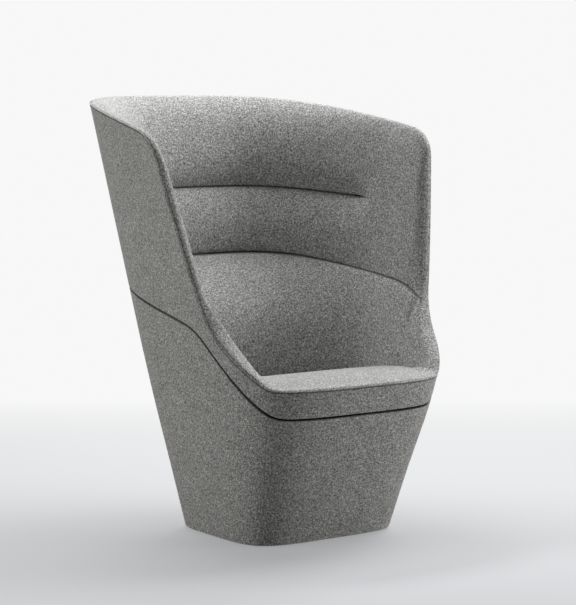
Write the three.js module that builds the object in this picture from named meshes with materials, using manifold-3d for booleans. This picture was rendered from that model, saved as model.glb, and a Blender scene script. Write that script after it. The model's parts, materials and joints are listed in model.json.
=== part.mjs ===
// High back lounge chair with acoustic wings: a flared upholstered tub on an upholstered plinth.
// Millimetres, +Z up, front towards -Y, origin on the floor below the middle of the overall box.
// The outside is one ruled form that flares from a small rounded square at the floor to the rim.
// A side view curve cuts the opening into it, and a second one splits plinth and shell by a shadow gap.
import * as THREE from "three";
import Module from "manifold-3d";
import { mergeVertices } from "three/addons/utils/BufferGeometryUtils.js";

const wasm = await Module();
wasm.setup();

// Plan sections of the outside: squares rounded by a power, whose width changes by taperShare backwards
const floorPlan = {
  height: 0,
  halfWidth: 246.3,
  halfDepth: 208.7,
  centreY: -110.7,
  taperShare: 0.013,
  power: 4.46,
};
const armPlan = {
  height: 470,
  halfWidth: 331.5,
  halfDepth: 371.8,
  centreY: -119.2,
  taperShare: -0.014,
  power: 3.75,
};
const rimPlan = {
  height: 1250,
  halfWidth: 486.4,
  halfDepth: 600,
  centreY: -95.8,
  taperShare: -0.231,
  power: 4.1,
};
const frontSwell = 6;

// Opening seam in side view, from the seat front over the arm, up the wing edge and back along the rim
const seatSeamHeight = 430;
const armFootY = -422;
const wingFoot = { y: -264, z: 577 };
const wingTop = { y: -150, z: 1072 };
const rimMiddle = { y: 216, z: 1143 };
const rimBack = { y: 483, z: 1168 };
const seatCornerEase = 20;
const wingFootEase = 73;
const wingTopEase = 74;
const curveOverrun = 60;

// Shadow gap between plinth and shell in side view
const frontBandHeight = 73;
const gapFrontHeight = seatSeamHeight - frontBandHeight;
const gapFootY = -416;
const gapShoulder = { y: -199, z: 577.5 };
const gapBack = { y: 312, z: 674 };
const gapFootEase = 20;
const gapShoulderEase = 56;
const gapWidth = 5;

// Seam between the bucket and the wings, and the sewn channel in the back above it
const bucketSeamTip = { y: -263, z: 585 };
const bucketSeamKnee = { y: -238, z: 657 };
const bucketSeamBack = { y: 340, z: 727 };
const bucketSeamEase = 45;
const channelFront = { y: 11, z: 893 };
const channelBack = { y: 401, z: 923 };

// Layers, from the outside in
const coverThickness = 10;
const skinThickness = 8;
const bandThickness = 4;
const layerClearance = 0.6;
const bandReach = 35;
const bandClearance = 1.2;
const edgeSoftening = 3;

// Edge roll round the opening
const rollWidthWing = 24;
const rollWidthArm = 35;
const rollWidthBack = 38;
const rollWidthSeat = 25;
const rollHeightArm = 10;
const rollHeightRim = 5;
const rollTongue = 10;
const rollSeatClearance = 1.6;

// Wing pad: thickness measured in from the outside of the chair
const wingPadSide = 42;
const wingPadBack = 82;
const wingSeamSide = 34;
const wingSeamBack = 74;
const channelDepth = 24;
const wingPadSquareness = 3.3;
const leastPadHeight = 14;
const padSeamClearance = 1.4;
const wingPadTaper = 250;

// Bucket pad: thickness measured in from the outside of the chair, and the pad's own thickness
const bucketArm = 46;
const bucketCorner = 62;
const bucketBackFoot = 198;
const bucketBackTop = 141;
const bucketFront = 34;
const bucketFoamFoot = 70;
const bucketFoamTop = 30;
const bucketSquareness = 2.6;
const bucketBackClearance = 1;

// Boards of the plinth and the seat
const coverFloorGap = 5;
const floorBoardBottom = 8;
const boardThickness = 18;
const deckBelowGap = 35;
const deckTop = gapFrontHeight - deckBelowGap;
const ribThickness = 18;
const lengthRibX = 118;
const crossRibY = [-210, -15];
const backRibX = [70, 185];
const backRibTop = 700;
const ribEndClearance = 0.8;
const ribLapClearance = 0.3;

// Seat cushion
const seatFrontRise = 8;
const seatFrontHeight = seatSeamHeight + seatFrontRise;
const seatCrownRise = 19;
const seatCrown = { y: -345, z: seatSeamHeight + seatCrownRise };
const seatRearDrop = 44;
const seatRear = { y: 45, z: seatSeamHeight - seatRearDrop };
const seatSideDrop = 3;
const seatEdgeDrop = 9;
const cushionClearance = 2.4;
const seatSidePower = 4;
const seatEdgePower = 16;

// Levelling glides and their threaded inserts
const glideSpreadX = 165;
const glideFrontY = -255;
const glideRearY = 34;
const footRadius = 19;
const footHeight = 6;
const footTopRadius = 16;
const stemRadius = 4;
const stemTop = 38;
const runningClearance = 0.3;
const insertRadius = 5.6;
const insertFlangeRadius = 11;
const insertFlangeThickness = 1.5;
const dustCoverThickness = 1;
const dustCoverInset = 16;

// Bolts that hold the shell on the plinth
const boltX = 150;
const boltEdgeInset = 80;
const boltHeadRadius = 7;
const boltHeadHeight = 4.4;
const washerRadius = 10;
const washerThickness = 1.6;
const counterboreRadius = 13;
const counterboreDepth = 8;
const boltEndBelowDeck = 3;

// Facet counts
const stationCount = 72;
const plinthRows = 5;
const shellRows = 4;
const bandRows = 2;
const roundSides = 16;
const curveSteps = 24;

const material = (color, roughness) => new THREE.MeshStandardMaterial({ color, roughness, metalness: 0 });
const wool = material(0x868684, 0.95);
const woolDark = material(0x74746f, 0.95);
const birch = material(0xc9ad82, 0.7);
const blackBoard = material(0x1b1b1c, 0.8);
const blackPlastic = material(0x202021, 0.55);
const zinc = new THREE.MeshStandardMaterial({ color: 0xb4b6b8, roughness: 0.35, metalness: 0.9 });

const { lerp, smoothstep } = THREE.MathUtils;
const blend = (value, [from, to]) => smoothstep(value, from, to);

// Where the form turns from one side into the next, as shares of the way from the middle to back or front
const backTurnShares = [0.1, 0.85];
const frontTurnShares = [-0.95, -0.55];
const bandedShares = [0.3, 0.62];
const channelSettleShares = [0.1, 0.4];
const armFollowShares = [-0.25, 0.05];
const bucketEndShare = -0.78;

// A side view curve is a path through corners that are eased, read as height over y
function easedCorner(path, before, corner, after, ease) {
  const from = new THREE.Vector2(before.y, before.z);
  const mid = new THREE.Vector2(corner.y, corner.z);
  const to = new THREE.Vector2(after.y, after.z);
  const start = mid.clone().add(from.sub(mid).setLength(ease));
  const end = mid.clone().add(to.sub(mid).setLength(ease));
  path.lineTo(start.x, start.y);
  path.quadraticCurveTo(mid.x, mid.y, end.x, end.y);
}

function heightOver(path) {
  const points = path.getPoints(curveSteps);
  return (y) => {
    const next = points.findIndex((point) => point.x > y);
    if (next < 0) return points[points.length - 1].y;
    if (next === 0) return points[0].y;
    const [a, b] = [points[next - 1], points[next]];
    return lerp(a.y, b.y, (y - a.x) / (b.x - a.x));
  };
}

const seatFront = { y: armPlan.centreY - armPlan.halfDepth - curveOverrun, z: seatSeamHeight };
const armFoot = { y: armFootY, z: seatSeamHeight };
const openingPath = new THREE.Path().moveTo(seatFront.y, seatFront.z);
easedCorner(openingPath, seatFront, armFoot, wingFoot, seatCornerEase);
easedCorner(openingPath, armFoot, wingFoot, wingTop, wingFootEase);
easedCorner(openingPath, wingFoot, wingTop, rimMiddle, wingTopEase);
openingPath.quadraticCurveTo(rimMiddle.y, rimMiddle.z, rimBack.y, rimBack.z);

const gapFront = { y: seatFront.y, z: gapFrontHeight };
const gapFoot = { y: gapFootY, z: gapFrontHeight };
const gapPath = new THREE.Path().moveTo(gapFront.y, gapFront.z);
easedCorner(gapPath, gapFront, gapFoot, gapShoulder, gapFootEase);
easedCorner(gapPath, gapFoot, gapShoulder, gapBack, gapShoulderEase);
gapPath.lineTo(gapBack.y, gapBack.z);

const bucketSeamPath = new THREE.Path().moveTo(bucketSeamTip.y, bucketSeamTip.z);
easedCorner(bucketSeamPath, bucketSeamTip, bucketSeamKnee, bucketSeamBack, bucketSeamEase);
bucketSeamPath.lineTo(bucketSeamBack.y, bucketSeamBack.z);

// The outside form: for each angle round the plan a straight ruling runs up through each pair of plans,
// and below the arms the front swells a little beyond it
function planPoint(plan, angle, inset) {
  const power = inset.power || plan.power;
  const [cos, sin] = [Math.cos(angle), Math.sin(angle)];
  const reach = (Math.abs(cos) ** power + Math.abs(sin) ** power) ** (-1 / power);
  const [across, along] = [reach * cos, reach * sin];
  const halfDepth = plan.halfDepth - (along > 0 ? inset.back : inset.front);
  const halfWidth = (plan.halfWidth - inset.side) * (1 + plan.taperShare * along);
  return new THREE.Vector3(halfWidth * across, plan.centreY + halfDepth * along, plan.height);
}

const noInset = { side: 0, back: 0, front: 0 };
function formPoint(angle, z, inset = noInset) {
  const [low, high] = z < armPlan.height ? [floorPlan, armPlan] : [armPlan, rimPlan];
  const share = (z - low.height) / (high.height - low.height);
  const point = planPoint(low, angle, inset).lerp(planPoint(high, angle, inset), share);
  if (low !== floorPlan) return point;
  const swell = (frontSwell * Math.sin(Math.PI * share * share) ** 2 * (1 - Math.sin(angle))) / 2;
  return point.add(new THREE.Vector3(swell * Math.cos(angle), swell * Math.sin(angle), 0));
}

const normalStepShare = 1e-4;
function outwardNormal(angle, z) {
  const rise = armPlan.height * normalStepShare;
  const here = formPoint(angle, z);
  const round = formPoint(angle + normalStepShare, z).sub(here);
  const up = formPoint(angle, z + rise).sub(here);
  return round.cross(up).normalize();
}

// A point that lies in from the outside by a depth measured square to it, at the same height
function atDepth(angle, z, depth) {
  const normal = outwardNormal(angle, z);
  const level = normal.x ** 2 + normal.y ** 2;
  return formPoint(angle, z).sub(new THREE.Vector3(normal.x, normal.y, 0).multiplyScalar(depth / level));
}

// Height at which the ruling of an angle meets a side view curve
const halvings = 40;
function heightOnRuling(angle, heightAt) {
  let [low, high] = [floorPlan.height, rimPlan.height];
  for (let i = 0; i < halvings; i++) {
    const middle = (low + high) / 2;
    if (middle < heightAt(formPoint(angle, middle).y)) low = middle;
    else high = middle;
  }
  return (low + high) / 2;
}

const openingAt = heightOver(openingPath);
const gapAt = heightOver(gapPath);
const bucketSeamAt = heightOver(bucketSeamPath);

// Stations round the plan, closer where the opening climbs or the plan turns
function spreadStations() {
  const samples = stationCount * curveSteps;
  const turnWeight = armPlan.halfWidth / 2;
  const angles = [];
  const travelled = [0];
  let last = null;
  for (let i = 0; i <= samples; i++) {
    const angle = lerp(-Math.PI / 2, Math.PI / 2, i / samples);
    const z = heightOnRuling(angle, openingAt);
    const here = { point: formPoint(angle, z), normal: outwardNormal(angle, z) };
    if (last) {
      const step = here.point.distanceTo(last.point) + turnWeight * here.normal.angleTo(last.normal);
      travelled.push(travelled[i - 1] + step);
    }
    angles.push(angle);
    last = here;
  }
  const half = stationCount / 2;
  const right = [];
  for (let i = 0; i <= half; i++) {
    const target = (travelled[samples] * i) / half;
    const next = Math.max(1, travelled.findIndex((value) => value >= target * (1 - normalStepShare)));
    const share = (target - travelled[next - 1]) / (travelled[next] - travelled[next - 1]);
    right.push(lerp(angles[next - 1], angles[next], share));
  }
  const left = right.slice(1, half).map((angle) => Math.PI - angle).reverse();
  return [...right, ...left];
}

// How much longer a step down the ruling is than the same step square to a curve
function rulingStretch(angle, heightAt) {
  const around = normalStepShare * curveSteps;
  const before = heightOnRuling(angle - around, heightAt);
  const after = heightOnRuling(angle + around, heightAt);
  const run = formPoint(angle + around, before).distanceTo(formPoint(angle - around, before));
  return Math.hypot(1, (after - before) / run);
}

const mostStretchShare = 4.4;
function stationAt(angle) {
  const opening = heightOnRuling(angle, openingAt);
  return {
    angle,
    opening,
    openingStretch: Math.min(mostStretchShare, rulingStretch(angle, openingAt)),
    gap: heightOnRuling(angle, gapAt),
    gapStretch: rulingStretch(angle, gapAt),
    bucketSeam: heightOnRuling(angle, bucketSeamAt),
    backShare: blend(Math.sin(angle), backTurnShares),
    frontShare: 1 - blend(Math.sin(angle), frontTurnShares),
    armShare: 1 - smoothstep(opening, seatSeamHeight, wingTop.z),
  };
}
const stations = spreadStations().map(stationAt);

// Solids
function orient(positions, indices) {
  const geometry = new THREE.BufferGeometry();
  geometry.setAttribute("position", new THREE.Float32BufferAttribute(positions, 3));
  const corner = (i) => new THREE.Vector3().fromArray(positions, 3 * indices[i]);
  let volume = 0;
  for (let i = 0; i < indices.length; i += 3) volume += corner(i).dot(corner(i + 1).cross(corner(i + 2)));
  if (volume < 0) indices.reverse();
  geometry.setIndex(indices);
  geometry.computeVertexNormals();
  return geometry;
}

// Skin over closed sections that follow each other, either round to the first or capped at the ends
function loftSections(sections, closed) {
  const size = sections[0].length;
  const positions = sections.flat().flatMap((point) => point.toArray());
  const indices = [];
  const last = closed ? sections.length : sections.length - 1;
  for (let i = 0; i < last; i++) {
    const next = (i + 1) % sections.length;
    for (let j = 0; j < size; j++) {
      const k = (j + 1) % size;
      const [a, b, c, d] = [i * size + j, i * size + k, next * size + k, next * size + j];
      const rising = sections[i][j].z < sections[i][k].z;
      indices.push(...(rising ? [a, b, c, a, c, d] : [a, b, d, b, c, d]));
    }
  }
  if (!closed) {
    for (const [index, turn] of [[0, 1], [sections.length - 1, -1]]) {
      const middle = new THREE.Vector3();
      sections[index].forEach((point) => middle.addScaledVector(point, 1 / size));
      const hub = positions.length / 3;
      positions.push(...middle.toArray());
      for (let j = 0; j < size; j++) {
        const edge = [index * size + j, index * size + ((j + 1) % size)];
        indices.push(...(turn > 0 ? [edge[1], edge[0]] : edge), hub);
      }
    }
  }
  return orient(positions, indices);
}

// Skin over rings from the bottom to the top, closed by a point in the middle of each end
function loftRings(rings, bottom, top) {
  const size = rings[0].length;
  const positions = [...rings.flat(), bottom, top].flatMap((point) => point.toArray());
  const [bottomIndex, topIndex] = [rings.length * size, rings.length * size + 1];
  const indices = [];
  for (let j = 0; j < size; j++) {
    const k = (j + 1) % size;
    indices.push(bottomIndex, k, j);
    for (let i = 0; i < rings.length - 1; i++) {
      const [a, b] = [i * size + j, i * size + k];
      indices.push(a, b, b + size, a, b + size, a + size);
    }
    const row = (rings.length - 1) * size;
    indices.push(row + j, row + k, topIndex);
  }
  return orient(positions, indices);
}

function toSolid(geometry) {
  const bare = geometry.index ? geometry.toNonIndexed() : geometry.clone();
  bare.deleteAttribute("normal");
  bare.deleteAttribute("uv");
  const merged = mergeVertices(bare, normalStepShare);
  return new wasm.Manifold(
    new wasm.Mesh({
      numProp: 3,
      vertProperties: merged.attributes.position.array,
      triVerts: new Uint32Array(merged.index.array),
    }),
  );
}

function toGeometry(solid) {
  const mesh = solid.getMesh();
  const geometry = new THREE.BufferGeometry();
  geometry.setAttribute("position", new THREE.BufferAttribute(mesh.vertProperties, mesh.numProp));
  geometry.setIndex(new THREE.BufferAttribute(mesh.triVerts, 1));
  geometry.computeVertexNormals();
  return geometry;
}

const cut = (geometry, ...tools) =>
  toGeometry(tools.reduce((solid, tool) => solid.subtract(toSolid(tool)), toSolid(geometry)));

function revolve(profile) {
  const points = profile.map(([radius, z]) => new THREE.Vector2(radius, z));
  return new THREE.LatheGeometry(points, roundSides).rotateX(Math.PI / 2);
}

const chair = new THREE.Group();
function addPiece(name, geometry, look) {
  const mesh = new THREE.Mesh(geometry, look);
  mesh.name = name;
  chair.add(mesh);
}

// Round the plan, with the lower and upper height of a layer and how far it lies in
function layerSection(station, low, high, inner, outer, rows) {
  const soft = Math.min(edgeSoftening, outer > 0 ? 0 : inner);
  const section = [];
  const place = (z, depth) => section.push(atDepth(station.angle, z, depth));
  if (soft > 0) place(low, outer + soft);
  for (let i = 0; i <= rows; i++) {
    const inward = soft > 0 && (i === 0 || i === rows) ? soft : 0;
    const z = lerp(low, high, i / rows);
    place(inward ? z + (i === 0 ? soft : -soft) : z, outer);
  }
  if (soft > 0) place(high, outer + soft);
  for (let i = rows; i >= 0; i--) place(lerp(low, high, i / rows), inner);
  return section;
}

const layerRing = (lowOf, highOf, outer, inner, rows) =>
  loftSections(stations.map((at) => layerSection(at, lowOf(at), highOf(at), inner, outer, rows)), true);

const skinDepth = coverThickness + layerClearance;
const skinInside = skinDepth + skinThickness;
const padDepth = skinInside + layerClearance;
const bandDepth = padDepth + bandClearance;
const bandInside = bandDepth + bandThickness;
const boardDepth = bandInside + layerClearance;
const aboveGap = (at) => at.gap + (gapWidth / 2) * at.gapStretch;
const belowGap = (at) => at.gap - (gapWidth / 2) * at.gapStretch;
const underRoll = (at) => at.opening - layerClearance * at.openingStretch;

// Plinth
const floorBoardTop = floorBoardBottom + boardThickness;
const deckBottom = deckTop - boardThickness;
const coverFloor = () => coverFloorGap;
const skinFloor = () => floorBoardBottom;
addPiece("plinth_cover", layerRing(coverFloor, belowGap, 0, coverThickness, plinthRows), woolDark);
addPiece("plinth_skin", layerRing(skinFloor, belowGap, skinDepth, skinInside, plinthRows), blackBoard);

// Y of the form at a given x, in from the outside, towards the front (-1) or the back (1)
function reachAtX(x, z, depth, direction) {
  let [low, high] = [0, Math.PI / 2];
  for (let i = 0; i < halvings; i++) {
    const middle = (low + high) / 2;
    if (atDepth(direction * middle, z, depth).x > x) low = middle;
    else high = middle;
  }
  return atDepth(direction * high, z, depth).y;
}

const glidePlaces = [];
for (const [row, y] of [["front", glideFrontY], ["rear", glideRearY]]) {
  for (const [side, sign] of [["left", -1], ["right", 1]]) {
    glidePlaces.push({ name: row + "_" + side, x: sign * glideSpreadX, y });
  }
}
const boltPlaces = [];
for (const [row, direction] of [["front", -1], ["rear", 1]]) {
  const y = reachAtX(boltX, deckTop, boardDepth, direction) - direction * boltEdgeInset;
  for (const [side, sign] of [["left", -1], ["right", 1]]) {
    boltPlaces.push({ name: row + "_" + side, x: sign * boltX, y });
  }
}

// A flat board that fills the form between two heights, in from the outside by a depth
function formBoard(bottom, top, depth) {
  const ring = (z) => stations.map((at) => atDepth(at.angle, z, depth));
  const middle = (z) => new THREE.Vector3(0, floorPlan.centreY, z);
  return loftRings([ring(bottom), ring(top)], middle(bottom), middle(top));
}

const cutOverrun = 5;
function drill(place, radius, bottom, top) {
  const profile = [[0, bottom], [radius, bottom], [radius, top], [0, top]];
  return revolve(profile).translate(place.x, place.y, 0);
}

const insertHole = insertRadius + runningClearance;
addPiece(
  "floor_board",
  cut(
    formBoard(floorBoardBottom, floorBoardTop, padDepth),
    ...glidePlaces.map((place) =>
      drill(place, insertHole, floorBoardBottom - cutOverrun, floorBoardTop + cutOverrun),
    ),
  ),
  birch,
);

const dustCoverTop = floorBoardBottom - runningClearance;
const dustCoverBottom = dustCoverTop - dustCoverThickness;
addPiece(
  "dust_cover",
  cut(
    formBoard(dustCoverBottom, dustCoverTop, padDepth + dustCoverInset),
    ...glidePlaces.map((place) =>
      drill(place, insertHole, dustCoverBottom - cutOverrun, dustCoverTop + cutOverrun),
    ),
  ),
  blackBoard,
);

const boltHole = stemRadius + runningClearance;
addPiece(
  "deck",
  cut(
    formBoard(deckBottom, deckTop, boardDepth),
    ...boltPlaces.map((place) => drill(place, insertHole, deckBottom - cutOverrun, deckTop + cutOverrun)),
  ),
  birch,
);

function extrudeOutline(points, thickness) {
  const shape = new THREE.Shape(points.map(([a, b]) => new THREE.Vector2(a, b)));
  return new THREE.ExtrudeGeometry(shape, { depth: thickness, bevelEnabled: false });
}

// A plate that stands in the plane of y and z, its outline given as [y, z]
function plateAtX(outline, x, thickness) {
  const plate = extrudeOutline(outline, thickness);
  plate.rotateX(Math.PI / 2).rotateZ(Math.PI / 2).translate(x - thickness / 2, 0, 0);
  return plate;
}

// A plate that stands in the plane of x and z, its outline given as [x, z]
function plateAtY(outline, y, thickness) {
  const plate = extrudeOutline(outline, thickness);
  plate.rotateX(Math.PI / 2).translate(0, y + thickness / 2, 0);
  return plate;
}

function halfWidthAtY(y, z, depth) {
  let [low, high] = [-Math.PI / 2, Math.PI / 2];
  for (let i = 0; i < halvings; i++) {
    const middle = (low + high) / 2;
    if (atDepth(middle, z, depth).y < y) low = middle;
    else high = middle;
  }
  return atDepth(high, z, depth).x;
}

// Two lengthwise and two crosswise ribs, lapped half and half
const ribBottom = floorBoardTop + runningClearance;
const ribTop = deckBottom - runningClearance;
const ribMiddle = (ribBottom + ribTop) / 2;
const ribHeightShares = [0, 0.25, 0.5, 0.75, 1];
const ribHeights = ribHeightShares.map((share) => lerp(ribBottom, ribTop, share));
const ribDepth = padDepth + ribEndClearance;
const slotWidth = ribThickness + 2 * ribLapClearance;
const slot = (x, y, bottom, top, sizeX, sizeY) =>
  new THREE.BoxGeometry(sizeX, sizeY, top - bottom).translate(x, y, (bottom + top) / 2);
for (const [side, sign] of [["left", -1], ["right", 1]]) {
  const x = sign * lengthRibX;
  const outer = lengthRibX + ribThickness / 2;
  const front = ribHeights.map((z) => [reachAtX(outer, z, ribDepth, -1), z]);
  const rear = ribHeights.map((z) => [reachAtX(outer, z, ribDepth, 1), z]).reverse();
  const laps = crossRibY.map((y) =>
    slot(x, y, ribMiddle - ribLapClearance, ribTop + cutOverrun, ribThickness + cutOverrun, slotWidth),
  );
  addPiece("plinth_rib_" + side, cut(plateAtX([...front, ...rear], x, ribThickness), ...laps), birch);
}
crossRibY.forEach((y, index) => {
  const edgeY = y + ((index ? 1 : -1) * ribThickness) / 2;
  const right = ribHeights.map((z) => [halfWidthAtY(edgeY, z, ribDepth), z]);
  const left = right.map(([x, z]) => [-x, z]).reverse();
  const laps = [-lengthRibX, lengthRibX].map((x) =>
    slot(x, y, ribBottom - cutOverrun, ribMiddle + ribLapClearance, slotWidth, ribThickness + cutOverrun),
  );
  const name = index ? "plinth_rib_rear" : "plinth_rib_front";
  addPiece(name, cut(plateAtY([...right, ...left], y, ribThickness), ...laps), birch);
});

// Glides turn in threaded inserts, which are driven into the floor board from inside
const insertTop = floorBoardTop + runningClearance + insertFlangeThickness;
const stemBore = stemRadius + runningClearance;
for (const place of glidePlaces) {
  const foot = revolve([
    [0, 0],
    [footRadius, 0],
    [footRadius, footHeight / 2],
    [footTopRadius, footHeight],
    [stemRadius, footHeight],
    [stemRadius, stemTop],
    [0, stemTop],
  ]).translate(place.x, place.y, 0);
  addPiece("glide_" + place.name, foot, blackPlastic);
  const insert = revolve([
    [stemBore, floorBoardBottom],
    [insertRadius, floorBoardBottom],
    [insertRadius, floorBoardTop + runningClearance],
    [insertFlangeRadius, floorBoardTop + runningClearance],
    [insertFlangeRadius, insertTop],
    [stemBore, insertTop],
    [stemBore, floorBoardBottom],
  ]).translate(place.x, place.y, 0);
  addPiece("glide_insert_" + place.name, insert, zinc);
}

// Band that joins plinth and shell inside, seen black in the shadow gap
const bandLow = (at) => at.gap - bandReach;
const bandHigh = (at) => at.gap + bandReach;
addPiece("joint_band", layerRing(bandLow, bandHigh, bandDepth, bandInside, bandRows), blackBoard);

// Shell
addPiece("shell_cover", layerRing(aboveGap, underRoll, 0, coverThickness, shellRows), woolDark);
addPiece("shell_skin", layerRing(aboveGap, underRoll, skinDepth, skinInside, shellRows), blackBoard);

const seatBoardBottom = deckTop + runningClearance;
const seatBoardTop = seatBoardBottom + boardThickness;
const counterboreFloor = seatBoardTop - counterboreDepth;
addPiece(
  "seat_board",
  cut(
    formBoard(seatBoardBottom, seatBoardTop, boardDepth),
    ...boltPlaces.map((place) =>
      drill(place, boltHole, seatBoardBottom - cutOverrun, seatBoardTop + cutOverrun),
    ),
    ...boltPlaces.map((place) =>
      drill(place, counterboreRadius, counterboreFloor, seatBoardTop + cutOverrun),
    ),
  ),
  birch,
);

const washerBottom = counterboreFloor + runningClearance;
const headBottom = washerBottom + washerThickness;
const boltEnd = deckBottom - boltEndBelowDeck;
const nutFlangeTop = deckBottom - runningClearance;
const nutBottom = nutFlangeTop - insertFlangeThickness;
for (const place of boltPlaces) {
  const bolt = revolve([
    [0, boltEnd],
    [stemRadius, boltEnd],
    [stemRadius, washerBottom],
    [washerRadius, washerBottom],
    [washerRadius, headBottom],
    [boltHeadRadius, headBottom],
    [boltHeadRadius, headBottom + boltHeadHeight / 2],
    [boltHeadRadius / 2, headBottom + boltHeadHeight],
    [0, headBottom + boltHeadHeight],
  ]).translate(place.x, place.y, 0);
  addPiece("shell_bolt_" + place.name, bolt, zinc);
  const nut = revolve([
    [stemBore, nutBottom],
    [insertFlangeRadius, nutBottom],
    [insertFlangeRadius, nutFlangeTop],
    [insertRadius, nutFlangeTop],
    [insertRadius, deckTop - runningClearance],
    [stemBore, deckTop - runningClearance],
    [stemBore, nutBottom],
  ]).translate(place.x, place.y, 0);
  addPiece("shell_nut_" + place.name, nut, zinc);
}

// Edge roll: a crowned strip over the edges of cover and skin, all round the opening
const armWidenShares = [0.55, 0.85];
function rollWidth(at) {
  const arm = lerp(rollWidthWing, rollWidthArm, blend(at.armShare, armWidenShares));
  return lerp(lerp(arm, rollWidthSeat, at.frontShare), rollWidthBack, at.backShare);
}
function rollHeight(at) {
  const side = lerp(rollHeightRim, rollHeightArm, blend(at.armShare, armWidenShares));
  return lerp(side, rollHeightRim, at.backShare);
}
const rollCrownShares = [[0, 0], [0.03, 0.4], [0.2, 0.82], [0.5, 1], [0.8, 0.8], [1, 0.25]];
function rollSection(at) {
  const width = rollWidth(at);
  const height = rollHeight(at);
  const down = (distance) => at.opening - distance * at.openingStretch;
  const outside = rollCrownShares.map(([inShare, upShare]) =>
    atDepth(at.angle, down(-layerClearance - height * upShare), width * inShare),
  );
  const tongue = [
    atDepth(at.angle, down(rollTongue), width),
    atDepth(at.angle, down(rollTongue), padDepth),
    atDepth(at.angle, down(-layerClearance), padDepth),
  ];
  return [...outside, ...tongue];
}
addPiece("edge_roll", loftSections(stations.map(rollSection), true), wool);

// Wing pad: two puffed bands above the bucket seam, parted by a channel that fades out on the wings
const puffPower = 2.3;
const puff = (share) => Math.sqrt(1 - Math.abs(2 * share - 1) ** puffPower);
const lowerBandShares = [0, 0.08, 0.25, 0.5, 0.75, 0.92];
const upperBandShares = [0, 0.06, 0.2, 0.4, 0.6, 0.8, 1];
const restingChannelShare = 0.46;
const channelSlope = (channelBack.z - channelFront.z) / (channelBack.y - channelFront.y);
const channelAt = (y) => channelFront.z + channelSlope * (y - channelFront.y);
const layerShares = [1, 0.75, 0.5, 0.25, 0];

const underTongue = (at) => at.opening - (rollTongue + rollSeatClearance) * at.openingStretch;
function wingPadRange(at) {
  const low = at.bucketSeam + padSeamClearance;
  const high = underTongue(at);
  return { low, high, tall: high - low };
}

function wingPadSection(at) {
  const { low, high, tall } = wingPadRange(at);
  const seam = lerp(wingSeamSide, wingSeamBack, at.backShare);
  const top = rollWidth(at);
  const full = lerp(wingPadSide, wingPadBack, at.backShare);
  const banded = blend(Math.sin(at.angle), bandedShares);
  const channel = full - channelDepth;
  const trueShare = (heightOnRuling(at.angle, channelAt) - low) / tall;
  const settled = blend(Math.sin(at.angle), channelSettleShares);
  const channelShare = lerp(restingChannelShare, trueShare, settled);
  const thickness = (whole, share, from, to) => {
    const plain = lerp(lerp(seam, top, whole), full, puff(whole) * Math.min(1, tall / wingPadTaper));
    return lerp(plain, lerp(lerp(from, to, share), full, puff(share)), banded);
  };
  const face = (whole, depth) => {
    const z = lerp(low, high, whole);
    const inset = { side: depth, back: depth, front: depth, power: wingPadSquareness };
    return atDepth(at.angle, z, depth).lerp(formPoint(at.angle, z, inset), at.backShare);
  };
  const lower = lowerBandShares.map((share) => {
    const whole = share * channelShare;
    return face(whole, thickness(whole, share, seam, channel));
  });
  const upper = upperBandShares.map((share) => {
    const whole = lerp(channelShare, 1, share);
    return face(whole, thickness(whole, share, channel, top));
  });
  const back = layerShares.map((share) => atDepth(at.angle, lerp(low, high, share), padDepth));
  return [...lower, ...upper, ...back];
}
const padStations = stations.filter((at) => wingPadRange(at).tall > leastPadHeight);
addPiece("wing_pad", loftSections(padStations.map(wingPadSection), false), wool);

// Bucket pad: the thick lower back and the arms, with a rolled top below the bucket seam
const bucketBottom = seatBoardTop + runningClearance;
const bucketRowShares = [0, 0.3, 0.55, 0.75, 0.87, 0.94, 0.98, 1];
const rollStartShare = 0.72;
const bucketRoll = (share) => {
  const over = Math.max(0, (share - rollStartShare) / (1 - rollStartShare));
  return Math.sqrt(Math.max(0, 1 - over * over));
};
const bucketTop = (at) => Math.min(at.bucketSeam - padSeamClearance, underTongue(at));

function bucketInset(at, share) {
  const seam = lerp(wingSeamSide, wingSeamBack, at.backShare);
  const rolled = bucketRoll(share);
  const arm = lerp(bucketArm, bucketFront, at.frontShare);
  const edge = Math.max(seam, lerp(rollWidth(at), seam, at.backShare));
  return {
    side: lerp(edge, lerp(arm, bucketCorner, at.backShare), rolled),
    back: lerp(edge, lerp(bucketBackFoot, bucketBackTop, share), rolled),
    front: lerp(edge, bucketFront, rolled),
    power: lerp(bucketSquareness, wingPadSquareness, share * share),
  };
}

function bucketFace(at, share, extra) {
  const z = lerp(bucketBottom, bucketTop(at), share);
  const { side, back, front, power } = bucketInset(at, share);
  const curved = { side: side + extra, back: back + extra, front: front + extra, power };
  const followed = 1 - blend(Math.sin(at.angle), armFollowShares);
  const nested = atDepth(at.angle, z, lerp(side, front, at.frontShare) + extra);
  return formPoint(at.angle, z, curved).lerp(nested, followed);
}

// The pad's own back lies on the band and the skin, and behind the sitter it leaves the ribs their room
const bucketBackDepth = boardDepth + bucketBackClearance;
function bucketBack(at, share) {
  const roomFoot = bucketBackFoot - bucketFoamFoot - bucketBackDepth;
  const roomTop = wingSeamBack - bucketFoamTop - bucketBackDepth;
  const point = atDepth(at.angle, lerp(bucketBottom, bucketTop(at), share), bucketBackDepth);
  point.y -= lerp(roomFoot, roomTop, share) * at.backShare;
  return point;
}

const armStations = stations.filter((at) => Math.sin(at.angle) > bucketEndShare);
const bucketSections = armStations.map((at) => [
  ...bucketRowShares.map((share) => bucketFace(at, share, 0)),
  ...layerShares.map((share) => bucketBack(at, share)),
]);
addPiece("bucket_pad", loftSections(bucketSections, false), wool);

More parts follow.
